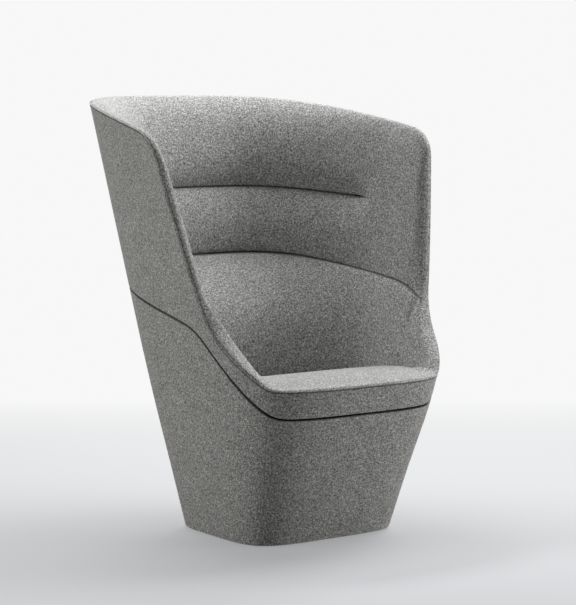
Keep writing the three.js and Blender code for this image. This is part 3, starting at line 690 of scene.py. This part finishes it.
def zinc_plate():
    """Zinc plated steel, whose spangle is dull in places."""
    n = Nodes("zinc_plate")
    spangle = n.add("ShaderNodeTexVoronoi", {"Vector": n.coords, "Scale": 260.0}).outputs["Distance"]
    colour = n.mix(n.ramp(spangle, 0, 1, 0, 1), ZINC_DULL, ZINC_BRIGHT)
    return n.shade(Base_Color=colour, Metallic=1.0, Roughness=n.ramp(spangle, 0, 1, 0.28, 0.42))


def sewing_thread():
    """Twisted grey thread, with painted shade between its strands."""
    n = Nodes("sewing_thread")
    strands = {"Vector": n.coords, "Scale": 900.0, "Distortion": 1.0}
    twist = n.add("ShaderNodeTexWave", strands).outputs["Fac"]
    colour = n.mix(twist, THREAD_PAINTED_SHADE, THREAD_LIGHT)
    return n.shade(Base_Color=colour, Roughness=0.6, Normal=n.bump(twist, THREAD_TWIST, 0.5))


felt = melange_felt()
looks = {
    "felt": felt,
    "plywood": birch_ply(),
    "black_board": black_sheet(),
    "black_plastic": black_moulded(),
    "zinc": zinc_plate(),
}
thread = sewing_thread()


# Outer covers
def rounded_edge(edge, stretch, turn):
    """Heights, depths and painted shade round a soft edge, out to in. The turn is 1 at a lower edge, else
    -1.
    """
    angle = quarter(COVER_EDGE_ROWS)
    heights = edge + turn * GAP_ROUNDING * stretch * (1 - np.sin(angle))
    depths = GAP_ROUNDING * (1 - np.cos(angle))
    shade = GAP_SHADE * np.sin(angle) ** GAP_SHADE_POWER
    return heights, np.broadcast_to(depths, heights.shape), np.broadcast_to(shade, heights.shape)


def cover_section(low, low_stretch, high, high_stretch, top_rounded, rows):
    """A closed section of a felt cover from its lower to its upper edge, and back up its inside."""
    lower_z, lower_d, lower_shade = (part[:, ::-1] for part in rounded_edge(low, low_stretch, 1))
    if top_rounded:
        upper_z, upper_d, upper_shade = rounded_edge(high, high_stretch, -1)
    else:
        upper_z = high - BELOW_SEAM * high_stretch
        upper_d = np.broadcast_to(seam_line(BELOW_SEAM), upper_z.shape)
        upper_shade = np.broadcast_to(seam_dip_and_shade(BELOW_SEAM), upper_z.shape)
    share = np.linspace(0, 1, rows)[None, 1:-1]
    middle_z = lerp(lower_z[:, -1:], upper_z[:, :1], share)
    middle_d = np.zeros_like(middle_z)
    inner_z = lerp(low, high, np.linspace(1, 0, COVER_INNER_ROWS)[None, :])
    inner_d = np.full_like(inner_z, COVER_THICKNESS)
    z = np.concatenate([lower_z, middle_z, upper_z, inner_z], axis=1)
    d = np.concatenate([lower_d, middle_d, upper_d, inner_d], axis=1)
    # Painted shade where the felt turns into the gap and beside the opening seam, and along the upright
    # seams
    edge_painted_shade = np.concatenate([lower_shade, middle_d, upper_shade, np.zeros_like(inner_z)], axis=1)
    visible = np.arange(z.shape[1]) < z.shape[1] - COVER_INNER_ROWS
    sink, shade = cover_seams(z)
    return at_depth(col["angle"], z, d + visible * sink), np.maximum(edge_painted_shade, visible * shade)


def make_covers():
    below = col["gap"] - GAP_WIDTH / 2 * col["gap_stretch"]
    above = col["gap"] + GAP_WIDTH / 2 * col["gap_stretch"]
    floor = np.full_like(below, FLOOR_GAP)
    section = cover_section(floor, 1.0, below, col["gap_stretch"], True, PLINTH_ROWS)
    plinth = felt_grid("plinth_felt", *section)
    finish_piece(plinth, "chair", felt, ["plinth_cover"])
    section = cover_section(above, col["gap_stretch"], col["opening"], col["stretch"], False, SHELL_ROWS)
    shell = felt_grid("shell_felt", *section)
    finish_piece(shell, "chair", felt, ["shell_cover"])


# Edge roll: its curve leaves the opening seam, rises over the crown and ends where the pads begin
def roll_end_angle():
    side = lerp(ROLL_END_WING, ROLL_END_ARM, col["crisp"])
    return lerp(lerp(side, ROLL_END_SEAT, col["merge"]), ROLL_END_BACK, col["back"])


def roll_height():
    seat_height = SEAT_FRONT_HEIGHT + ROLL_OVER_SEAT - SEAT_SEAM
    side = lerp(lerp(ROLL_HEIGHT_RIM, ROLL_HEIGHT_ARM, col["arm"]), ROLL_HEIGHT_RIM, col["back"])
    return lerp(side, seat_height, col["merge"])


def roll_curve(angle):
    """Rise and depth of the roll's crown at an angle over it, from 0 at the seam."""
    end = roll_end_angle()
    inner = lerp(ROLL_INNER_POWER, ARM_INNER_POWER, col["crisp"])

    def powers(turn):
        power = np.where(turn < math.pi / 2, ROLL_OUTER_POWER, inner)
        cosine = np.sign(np.cos(turn)) * np.abs(np.cos(turn)) ** (2 / power)
        return cosine, np.abs(np.sin(turn)) ** (2 / power)

    cosine, sine = powers(angle)
    end_cosine, _ = powers(end)
    depth = col["roll"] * (1 - cosine) / (1 - end_cosine)
    return depth, roll_height() * sine


def blended_face(z, depth, weight):
    """A point in from the outside, which turns from nested to its own rounder plan by a weight."""
    nested = at_depth(col["angle"], z, depth)
    own = form(col["angle"], z, depth, depth, depth, PAD_SQUARENESS)
    return lerp(nested, own, weight[..., None])


def roll_face(share):
    depth, rise = roll_curve(roll_end_angle() * share)
    z = col["opening"] + rise * col["stretch"]
    return blended_face(z, depth, col["back"] * ease(depth / col["roll"], 0, 1))


def behind_roll():
    """Depth of the roll's and the pad's hidden side, which never comes out through their visible side."""
    return np.minimum(PAD_DEPTH, col["roll"] - HIDDEN_SIDE_CLEARANCE)


def roll_distances():
    """Rows of the roll by their distance from the seam, square to it, and the turn at which each lies."""
    turn = np.linspace(0, 1, ROLL_SAMPLES) ** ROLL_CROWDING
    depth, rise = roll_curve(roll_end_angle() * turn[None, :])
    steps = np.hypot(np.diff(depth, axis=1), np.diff(rise, axis=1))
    travel = np.concatenate([np.zeros((len(steps), 1)), np.cumsum(steps, axis=1)], axis=1)
    far = lerp(OVER_SEAM[-1], travel[:, -1:], np.linspace(0, 1, ROLL_ROWS)[None, 1:])
    distances = np.concatenate([np.broadcast_to(OVER_SEAM, (len(far), len(OVER_SEAM))), far], axis=1)
    return distances, np.stack([np.interp(row, along, turn) for row, along in zip(distances, travel)])


def make_edge_roll():
    distances, turns = roll_distances()
    face = roll_face(turns)
    seam = seam_dip_and_shade(distances)
    stitched = seam_dip_and_shade(distances - TOPSTITCH_AT, TOPSTITCH_HALF_WIDTH)
    crossing = seam_dip_and_shade(face[..., 2] - bucket_seam_over(face[..., 1]), CREASE_HALF_WIDTH)
    crossing = CROSSING_SHADE * crossing * ease(turns * roll_end_angle(), *CROSSING_TURN)
    ridge = RIDGE_RISE * seam_dip_and_shade(distances - RIDGE_AT, RIDGE_HALF_WIDTH)
    normals = grid_normals(face)
    out = np.sign((normals * outward(col["angle"], col["opening"])).sum(-1)[:, :4].mean(1))[:, None, None]
    normals = normals * out
    sink = SEAM_SINK * seam + TOPSTITCH_SINK * stitched - ridge + INNER_SEAM_SINK * crossing
    face = face - normals * sink[..., None]
    end_depth, end_rise = roll_curve(roll_end_angle())
    end_z = col["opening"] + end_rise * col["stretch"]
    tongue_z = col["opening"] - ROLL_TONGUE * col["stretch"]
    sole_z = col["opening"] + ROLL_SOLE_RISE
    under = np.concatenate(
        [
            blended_face(end_z - TONGUE_DROP, end_depth - TONGUE_SETBACK, col["back"]),
            blended_face(tongue_z, end_depth - TONGUE_FOOT_SETBACK, col["back"]),
            at_depth(col["angle"], tongue_z, behind_roll()),
            at_depth(col["angle"], sole_z, behind_roll()),
            at_depth(col["angle"], sole_z, np.full_like(sole_z, ROLL_SOLE_DEPTH)),
        ],
        axis=1,
    )
    # Painted shade in the opening seam, the topstitch and where the bucket's seam crosses the roll
    painted_shade = np.maximum(np.maximum(seam, TOPSTITCH_SHADE * stitched), crossing)
    painted_shade = np.concatenate([painted_shade, np.zeros(under.shape[:2])], axis=1)
    piece = felt_grid("edge_roll_felt", np.concatenate([face, under], axis=1), painted_shade)
    finish_piece(piece, "chair", felt, ["edge_roll"])
    stitched_row = int(np.argmin(np.abs(OVER_SEAM - TOPSTITCH_AT)))
    return face[:, stitched_row], normals[:, stitched_row]


def make_topstitch(line, normals):
    """The stitches beside the opening seam: one is modelled, and its copies follow the stitched line."""
    clean_selection()
    bpy.ops.mesh.primitive_uv_sphere_add(segments=6, ring_count=5, radius=STITCH_LENGTH / 2)
    stitch = bpy.context.object
    bpy.ops.object.mode_set(mode="EDIT")
    bpy.ops.transform.rotate(value=math.pi / 2, orient_axis="Y", center_override=(0, 0, 0))
    slender = 2 * THREAD_RADIUS / STITCH_LENGTH
    bpy.ops.transform.resize(value=(1, slender, slender), center_override=(0, 0, 0))
    bpy.ops.object.mode_set(mode="OBJECT")
    for vertex in stitch.data.vertices:
        vertex.co.z -= STITCH_DIP * (2 * vertex.co.x / STITCH_LENGTH) ** 2
    bpy.ops.object.shade_smooth()
    closed = np.concatenate([line, line[:1]])
    along = np.concatenate([[0], np.cumsum(np.linalg.norm(np.diff(closed, axis=0), axis=1))])
    count = int(along[-1] / STITCH_PITCH)
    middles = (np.arange(count) + 0.5) * along[-1] / count
    ups = np.concatenate([normals, normals[:1]])

    def read(values, places):
        return np.stack([np.interp(places, along, values[:, axis]) for axis in range(3)], axis=1)

    ahead, behind = (read(closed, middles + step) for step in (STITCH_LENGTH / 3, -STITCH_LENGTH / 3))
    forward = unit(ahead - behind)
    side = unit(np.cross(read(ups, middles), forward))
    up = np.cross(forward, side)
    places = read(closed, middles) + up * STITCH_STANDOFF
    copies = [stitch]
    for _ in places[1:]:
        copy = stitch.copy()
        copy.data = stitch.data.copy()
        bpy.context.scene.collection.objects.link(copy)
        copy.select_set(True)
        copies.append(copy)
    for copy, *axes in zip(copies, forward, side, up, places):
        turned = [[float(axis[row]) for axis in axes] for row in range(3)]
        copy.data.transform(Matrix([*turned, [0, 0, 0, 1]]))
    bpy.ops.object.join()
    stitch.name = stitch.data.name = "opening_topstitch"
    finish_piece(stitch, "chair", thread, [])


# Wing pad
def cubic(start, first, second, end, share):
    """A smooth curve between its ends, drawn towards two handles."""
    rest = 1 - share
    before = rest**2 * (rest * start + 3 * share * first)
    after = share**2 * (3 * rest * second + share * end)
    return before + after


def band_curve(start_depth, start_z, slope, full, full_z, share):
    """From the roll's end, in its direction, to the fullest place of the band."""
    down = start_z - full_z
    most = lerp(*BAND_MOST, col["back"]) * (full - start_depth)
    lead = np.minimum(lerp(*BAND_LEAD, col["back"]) * down, most / np.maximum(slope, FLATTEST_START))
    lead = lerp(lead, BAND_LEAD[1] * down, col["back"])
    depth = cubic(start_depth, start_depth + np.minimum(lead * slope, most), full, full, share)
    z = cubic(start_z, start_z - lead, full_z + BAND_SETTLE * down, full_z, share)
    return depth, z


def puff_down(full, full_z, end_depth, end_z, angle):
    """A quarter round from the fullest place into a sewn line below it."""
    out = np.abs(np.cos(angle)) ** (2 / PUFF_POWER)
    down = np.abs(np.sin(angle)) ** (2 / PUFF_POWER)
    return lerp(end_depth, full, out), lerp(full_z, end_z, down)


def wing_profile(low, high, top_depth, slope):
    """Depths, heights and painted crease shade down the inside: two bands on the back, one plain pad on the
    wings.
    """
    full = lerp(WING_SIDE, WING_BACK, col["back"])
    seam = lerp(SEAM_SIDE, SEAM_BACK, col["back"])
    tall = high - low
    swell = np.minimum(1, tall / FULL_HEIGHT)
    plain_full = lerp(lerp(seam, top_depth, 0.5), full, swell)
    plain_z = lerp(low, high, 0.5)
    groove = full - CHANNEL_DEPTH
    settled = ease(np.sin(col["angle"]), *CHANNEL_SETTLE)
    channel = lerp(low, high, lerp(PLAIN_CHANNEL_SHARE, (col["channel"] - low) / tall, settled))
    upper_full = lerp(channel, high, UPPER_FULLEST)
    lower_full = lerp(low, channel, LOWER_FULLEST)
    shares = np.linspace(0, 1, BAND_ROWS)[None, :]
    turns = quarter(PUFF_ROWS)
    parts = [
        band_curve(top_depth, high, slope, full, upper_full, shares),
        puff_down(full, upper_full, groove, channel, turns[:, 1:]),
        tuple(part[:, ::-1] for part in puff_down(full, lower_full, groove, channel, turns[:, :-1])),
        puff_down(full, lower_full, seam, low, turns[:, 1:]),
    ]
    banded_d = np.concatenate([part[0] for part in parts], axis=1)
    z = np.concatenate([part[1] for part in parts], axis=1)
    first = band_curve(top_depth, high, slope, plain_full, plain_z, shares)
    second = puff_down(plain_full, plain_z, seam, low, quarter(PLAIN_PUFF_ROWS)[:, 1:])
    plain_d = np.concatenate([first[0], second[0]], axis=1)
    plain_line_z = np.concatenate([first[1], second[1]], axis=1)
    plain = np.stack([np.interp(-z[i], -plain_line_z[i], plain_d[i]) for i in range(len(z))])
    # Painted shade in the sewn channel and along the bucket's seam
    crease_shade = np.maximum(
        col["banded"] * seam_dip_and_shade(z - channel, CREASE_HALF_WIDTH),
        seam_dip_and_shade(z - low, CREASE_HALF_WIDTH),
    )
    return lerp(plain, banded_d, col["banded"]), z, crease_shade


def part_of(mask):
    """The same columns, only where the mask holds, in the order in which they follow each other."""
    order = np.roll(np.arange(len(ring.angle)), -int(np.argmin(np.sin(ring.angle))))
    return order[mask[order]]


def roll_end_slope():
    """How fast the depth grows per height lost where the roll ends."""
    near, near_rise = roll_curve(roll_end_angle() * NEAR_END)
    depth, rise = roll_curve(roll_end_angle())
    return (depth - near) / np.maximum((near_rise - rise) * col["stretch"], WELD)


def make_wing_pad():
    low = col["bucket_seam"] + PAD_SEAM_CLEARANCE
    end_depth, end_rise = roll_curve(roll_end_angle())
    high = col["opening"] + end_rise * col["stretch"]
    keep = (high - low)[:, 0] > -TIP_REACH
    slope = np.clip(roll_end_slope(), 0, STEEPEST_START)
    safe_low = np.minimum(low, high - TIP_THICKNESS)
    depth, z, painted_shade = wing_profile(safe_low, high, end_depth, slope)
    depth = depth - TIP_SINK * (1 - ease(high - low, 0, TIP_REACH))
    off = off_upright_seam(z, PAD_SEAM, math.pi - PAD_SEAM)
    face = blended_face(z, depth - INNER_SEAM_SINK * seam_dip_and_shade(off), col["back"])
    # Painted shade along the upright pad seams
    painted_shade = np.maximum(painted_shade, INNER_SEAM_SHADE * seam_dip_and_shade(off))
    under_z = col["opening"] - (ROLL_TONGUE + PAD_TONGUE_CLEARANCE) * col["stretch"]
    hidden_z = [lerp(safe_low, under_z, share) for share in PAD_HIDDEN_SHARES]
    hidden = [at_depth(col["angle"], np.maximum(height, safe_low), behind_roll()) for height in hidden_z]
    hidden.append(blended_face(np.maximum(under_z, safe_low), end_depth - PAD_ROLL_CLEARANCE, col["back"]))
    grid = np.concatenate([face, *hidden], axis=1)[part_of(keep)]
    painted_shade = np.concatenate([painted_shade, np.zeros((len(painted_shade), len(hidden)))], axis=1)[part_of(keep)]
    piece = felt_grid("wing_pad_felt", grid, painted_shade, closed_round=False)
    finish_piece(piece, "chair", felt, ["wing_pad"])


# Bucket pad
def bucket_face(z, share, rolled, extra=0.0):
    """A point of the pad's visible side at a share of its height, drawn in by how far its top rolls over."""
    arm = lerp(BUCKET_ARM, BUCKET_FRONT, col["front"])
    seam = lerp(SEAM_SIDE, SEAM_BACK, col["back"])
    edge = np.maximum(seam, lerp(col["roll"], seam, col["back"]))
    edge = lerp(col["roll"], edge, col["wing"])
    side = lerp(edge, lerp(arm, BUCKET_CORNER, col["back"]), rolled) + extra
    belly = BUCKET_BACK_BELLY * 4 * share * (1 - share)
    back = lerp(edge, lerp(BUCKET_BACK_FOOT, BUCKET_BACK_TOP, share) + belly, rolled) + extra
    front = lerp(edge, BUCKET_FRONT, rolled) + extra
    power = lerp(BUCKET_SQUARENESS, PAD_SQUARENESS, share * share)
    curved = form(col["angle"], z, side, back, front, power)
    nested = at_depth(col["angle"], z, lerp(side, front, col["front"]))
    return lerp(curved, nested, col["follow"][..., None])


def bucket_top():
    end_depth, end_rise = roll_curve(roll_end_angle())
    under_roll = col["opening"] + end_rise * col["stretch"]
    return np.minimum(col["bucket_seam"] - PAD_SEAM_CLEARANCE, under_roll)


def bucket_rolled(share):
    """How full the pad still is at a share of its height: round at the top, slender under the roll."""
    over = np.clip((share - BUCKET_ROLL_START) / (1 - BUCKET_ROLL_START), 0, 1)
    round_top = np.sqrt(np.maximum(0, 1 - over * over))
    slender = 1 - ease(share, *BUCKET_SLENDER)
    return lerp(slender, round_top, np.maximum(col["rounded"], col["back"]))


def make_bucket_pad():
    top = bucket_top()
    straight = np.linspace(0, BUCKET_ROLL_START, BUCKET_STRAIGHT_ROWS)[None, :-1]
    rolling = BUCKET_ROLL_START + (1 - BUCKET_ROLL_START) * np.sin(quarter(BUCKET_ROUND_ROWS))
    share = np.concatenate([straight, rolling], axis=1)
    z = lerp(SEAT_BOARD_TOP, top, share)
    off = off_upright_seam(z, PAD_SEAM, math.pi - PAD_SEAM)
    face = bucket_face(z, share, bucket_rolled(share), -INNER_SEAM_SINK * seam_dip_and_shade(off))
    # Painted shade along the bucket's seam and its upright seams
    along_seam = np.maximum(col["wing"], col["back"]) * seam_dip_and_shade(top - z, CREASE_HALF_WIDTH)
    painted_shade = np.maximum(along_seam, INNER_SEAM_SHADE * seam_dip_and_shade(off))
    hidden_share = np.linspace(1, 0, BUCKET_HIDDEN_ROWS)[None, :]
    hidden_z = lerp(SEAT_BOARD_TOP, top - HIDDEN_TOP_CLEARANCE, hidden_share)
    tucked = np.minimum(BOARD_DEPTH, col["roll"] - HIDDEN_SIDE_CLEARANCE)
    hidden = at_depth(col["angle"], hidden_z, lerp(BOARD_DEPTH, tucked, ease(hidden_share, *BUCKET_TUCK)))
    room_foot = BUCKET_BACK_FOOT - BUCKET_FOAM_FOOT - BOARD_DEPTH
    room_top = SEAM_BACK - BUCKET_FOAM_TOP - BOARD_DEPTH
    hidden[..., 1] -= lerp(room_foot, room_top, hidden_share) * col["back"]
    keep = np.sin(ring.angle) > BUCKET_REACH
    grid = np.concatenate([face, hidden], axis=1)[part_of(keep)]
    painted_shade = np.concatenate([painted_shade, np.zeros(hidden.shape[:2])], axis=1)[part_of(keep)]
    piece = felt_grid("bucket_pad_felt", grid, painted_shade, closed_round=False)
    finish_piece(piece, "chair", felt, ["bucket_pad"])


# Seat cushion
seat_front_y = float(form(np.array(FRONT), np.array(SEAT_SEAM))[1])


def seat_profile():
    before = (lerp(SEAT_CROWN[0], seat_front_y, SEAT_BULGE), SEAT_CROWN[1])
    after = (lerp(SEAT_CROWN[0], SEAT_REAR[0], SEAT_BULGE), SEAT_CROWN[1])
    path = []
    stops = [((seat_front_y, SEAT_FRONT_HEIGHT), before, SEAT_CROWN), (SEAT_CROWN, after, SEAT_REAR)]
    for start, control, end in stops:
        start, control, end = (np.array(point) for point in (start, control, end))
        for share in np.linspace(0, 1, SEAT_PATH_STEPS):
            path.append(lerp(lerp(start, control, share), lerp(control, end, share), share))
    return height_over(np.array(path))


seat_over = seat_profile()


def seat_height(x, y):
    side = np.abs(x) / (ARM_PLAN["half_width"] - BUCKET_ARM)
    return seat_over(y) - SEAT_SIDE_DROP * side**SEAT_SIDE_POWER


def beside_bucket(z):
    """A point of the cushion's side at a height, with clearance to the bucket pad beside it."""
    share = np.clip((z - SEAT_BOARD_TOP) / (bucket_top() - SEAT_BOARD_TOP), 0, BUCKET_ROLL_START)
    return bucket_face(z, share, bucket_rolled(share), CUSHION_CLEARANCE)[:, 0]


def seat_edge():
    """The upper edge of the cushion: beside the bucket at the sides, against the roll in front."""
    end_depth, end_rise = roll_curve(roll_end_angle())
    front_z = col["opening"] + end_rise * col["stretch"]
    front_edge = blended_face(front_z, end_depth, col["back"])[:, 0]
    side_z = seat_height(front_edge[:, :1], front_edge[:, 1:2]) - SEAT_EDGE_DROP
    for _ in range(SEAT_EDGE_TRIES):
        side_edge = beside_bucket(side_z)
        side_z = seat_height(side_edge[:, :1], side_edge[:, 1:2]) - SEAT_EDGE_DROP
    return lerp(side_edge, front_edge, col["merge"])[:, :2], lerp(side_z, front_z, col["merge"])


def make_seat_cushion():
    edge, edge_z = seat_edge()
    middle = np.array([0.0, (seat_front_y + SEAT_REAR[0]) / 2])
    front_drop = seat_height(edge[:, :1], edge[:, 1:]) - edge_z
    rings = []
    for inwards in np.concatenate([SEAT_EDGE_SHARES, np.linspace(*SEAT_RING_SHARES, SEAT_RINGS)]):
        xy = lerp(edge, middle, inwards)
        run = np.linalg.norm(xy - edge, axis=1, keepdims=True)
        side_fall = SEAT_EDGE_DROP * np.exp(-run / SEAT_EDGE_REACH)
        front_fall = front_drop * np.exp(-((run / SEAT_FRONT_REACH) ** 2))
        z = seat_height(xy[:, :1], xy[:, 1:]) - lerp(side_fall, front_fall, col["merge"])
        rings.append(np.concatenate([xy, z], axis=1))
    lower = np.concatenate([lerp(edge, middle, SEAT_TUCK), edge_z - SEAT_WELT], axis=1)
    in_front = np.sin(col["angle"]) < BUCKET_REACH
    skirt = []
    for height in SKIRT_HEIGHTS:
        level = np.full_like(edge_z, height)
        at_front = at_depth(col["angle"], level, col["roll"] + CUSHION_CLEARANCE)[:, 0]
        skirt.append(np.where(in_front, at_front, beside_bucket(level)))
    base = np.broadcast_to([*middle, SEAT_BOARD_TOP], (len(edge), 3))
    peak = np.broadcast_to([*middle, float(seat_height(0, middle[1]))], (len(edge), 3))
    grid = np.stack([base, *skirt[::-1], lower, *rings, peak], axis=1)
    piece = felt_grid("seat_cushion_felt", grid)
    finish_piece(piece, "chair", felt, ["seat_cushion"])


# Nodes that stay as they are get their finish
def dress_nodes():
    by_slot = {row["node"]: row["material_slot"] for row in frame["record"]["subparts"]}
    for name, node in frame["nodes"].items():
        if node.hide_render:
            continue
        node.data.materials.clear()
        node.data.materials.append(looks[by_slot[name]])


# Stage, light and camera
PAPER = (0.93, 0.935, 0.93, 1)
# Painted shade: the floor's glow is darker near the chair
PAPER_PAINTED_SHADE_NEAR = (0.655, 0.665, 0.685, 1)
FLOOR_LIT = (0.80, 0.805, 0.82, 1)
FLOOR_BOUNCE = (0.25, 0.25, 0.25, 1)
ROOM_DARK = (0.01, 0.01, 0.01, 1)
FLOOR_SIZE = 60
FLOOR_FADE = (1.5, 3.6)
FLOOR_FADE_BEHIND = (-0.3, 2.2)
FLOOR_GLOW = 0.45
CAMERA_PLACE = (-3.2587, -4.7555, 1.2194)
CAMERA_HEADING = math.radians(35.058)
CAMERA_PITCH = math.radians(6.044)
CAMERA_LENS = 125.02
CAMERA_SENSOR = 36.0
CAMERA_REACH = 200.0
COOL = (0.985, 0.99, 1.0)
WARM = (1.0, 0.998, 0.98)
WARMER = (1.0, 0.995, 0.97)
SOFT_BOXES = {
    "top_box": {"place": (0.25, 0.15, 3.1), "aim": 0.6, "size": (2.2, 2.2), "watts": 29, "tint": COOL},
    "right_top_box": {"place": (2.0, 0.0, 2.7), "aim": 0.6, "size": (1.4, 2.2), "watts": 58, "tint": COOL},
    "back_top_box": {"place": (0.0, 1.2, 2.6), "aim": 0.6, "size": (1.0, 0.6), "watts": 32, "tint": COOL},
    "left_box": {"place": (-3.2, 0.9, 0.8), "aim": 0.5, "size": (1.6, 1.6), "watts": 38, "tint": WARMER},
    "right_box": {"place": (1.9, -2.0, 0.4), "aim": 0.3, "size": (1.2, 0.6), "watts": 27, "tint": WARM},
    "fill_box": {"place": (-2.8, -2.4, 1.2), "aim": 0.5, "size": (1.4, 1.4), "watts": 5, "tint": WARM},
}


def studio_paper():
    """Pale paper that keeps the shadow of the chair, and glows more and more further off, with painted shade
    in its glow near the chair.
    """
    n = Nodes("studio_floor")
    away = n.add("ShaderNodeVectorMath", {0: n.coords}, operation="LENGTH").outputs["Value"]
    to_the_back = {0: n.coords, 1: (math.sin(CAMERA_HEADING), math.cos(CAMERA_HEADING), 0)}
    behind = n.add("ShaderNodeVectorMath", to_the_back, operation="DOT_PRODUCT").outputs["Value"]
    fade_around = n.ramp(away, *FLOOR_FADE, 0.0, 1.0)
    fade_behind = n.ramp(behind, *FLOOR_FADE_BEHIND, 0.0, 1.0)
    far = n.maths("MAXIMUM", fade_around, fade_behind)
    lit = n.add("ShaderNodeBsdfDiffuse", {"Color": FLOOR_LIT}).outputs["BSDF"]
    glow = n.add("ShaderNodeEmission", {"Color": n.mix(far, PAPER_PAINTED_SHADE_NEAR, PAPER), "Strength": 1.0}).outputs[0]
    glowing = n.ramp(far, 0, 1, FLOOR_GLOW, 1)
    seen = n.add("ShaderNodeMixShader", {0: glowing, 1: lit, 2: glow}).outputs["Shader"]
    bounce = n.add("ShaderNodeBsdfDiffuse", {"Color": FLOOR_BOUNCE}).outputs["BSDF"]
    path = n.add("ShaderNodeLightPath")
    looked_at = n.maths("MAXIMUM", path.outputs["Is Camera Ray"], path.outputs["Is Glossy Ray"])
    mixed = n.add("ShaderNodeMixShader", {0: looked_at, 1: bounce, 2: seen}).outputs["Shader"]
    n.put(mixed, n.tree.nodes["Material Output"].inputs["Surface"])
    return n.material


def make_stage():
    clean_selection()
    bpy.ops.mesh.primitive_plane_add(size=FLOOR_SIZE)
    floor = bpy.context.object
    floor.name = "studio_floor"
    floor.data.materials.append(studio_paper())


def make_world():
    """White where the camera or a reflection looks, and almost dark as a light."""
    world = bpy.data.worlds.new("studio")
    bpy.context.scene.world = world
    world.use_nodes = True
    tree = world.node_tree
    room = tree.nodes["Background"]
    room.inputs["Color"].default_value = ROOM_DARK
    white = tree.nodes.new("ShaderNodeBackground")
    white.inputs["Color"].default_value = PAPER
    path = tree.nodes.new("ShaderNodeLightPath")
    mix = tree.nodes.new("ShaderNodeMixShader")
    either = tree.nodes.new("ShaderNodeMath")
    either.operation = "MAXIMUM"
    tree.links.new(path.outputs["Is Camera Ray"], either.inputs[0])
    tree.links.new(path.outputs["Is Glossy Ray"], either.inputs[1])
    tree.links.new(either.outputs[0], mix.inputs[0])
    tree.links.new(room.outputs[0], mix.inputs[1])
    tree.links.new(white.outputs[0], mix.inputs[2])
    tree.links.new(mix.outputs[0], tree.nodes["World Output"].inputs["Surface"])


def look_at(direction):
    x, y, z = unit(direction)
    return (math.atan2(math.hypot(x, y), -z), 0.0, math.atan2(-x, y))


def make_soft_box(name, place, aim, size, watts, tint):
    """A rectangular light that looks at a height over the middle of the floor."""
    lamp = bpy.data.lights.new(name, "AREA")
    lamp.shape = "RECTANGLE"
    lamp.size, lamp.size_y = size
    lamp.energy = watts
    lamp.color = tint
    box = bpy.data.objects.new(name, lamp)
    bpy.context.scene.collection.objects.link(box)
    box.location = place
    box.rotation_euler = look_at(np.array([0, 0, aim]) - place)


def make_camera():
    lens = bpy.data.cameras.new("camera")
    lens.lens = CAMERA_LENS
    lens.sensor_width = CAMERA_SENSOR
    lens.clip_end = CAMERA_REACH
    camera = bpy.data.objects.new("camera", lens)
    bpy.context.scene.collection.objects.link(camera)
    camera.location = CAMERA_PLACE
    camera.rotation_euler = (math.pi / 2 - CAMERA_PITCH, 0.0, -CAMERA_HEADING)
    bpy.context.scene.camera = camera


bpy.context.scene.view_settings.view_transform = "Standard"
make_camera()
make_world()
for name, box in SOFT_BOXES.items():
    make_soft_box(name, **box)
make_stage()
make_covers()
make_topstitch(*make_edge_roll())
make_wing_pad()
make_bucket_pad()
make_seat_cushion()
dress_nodes()
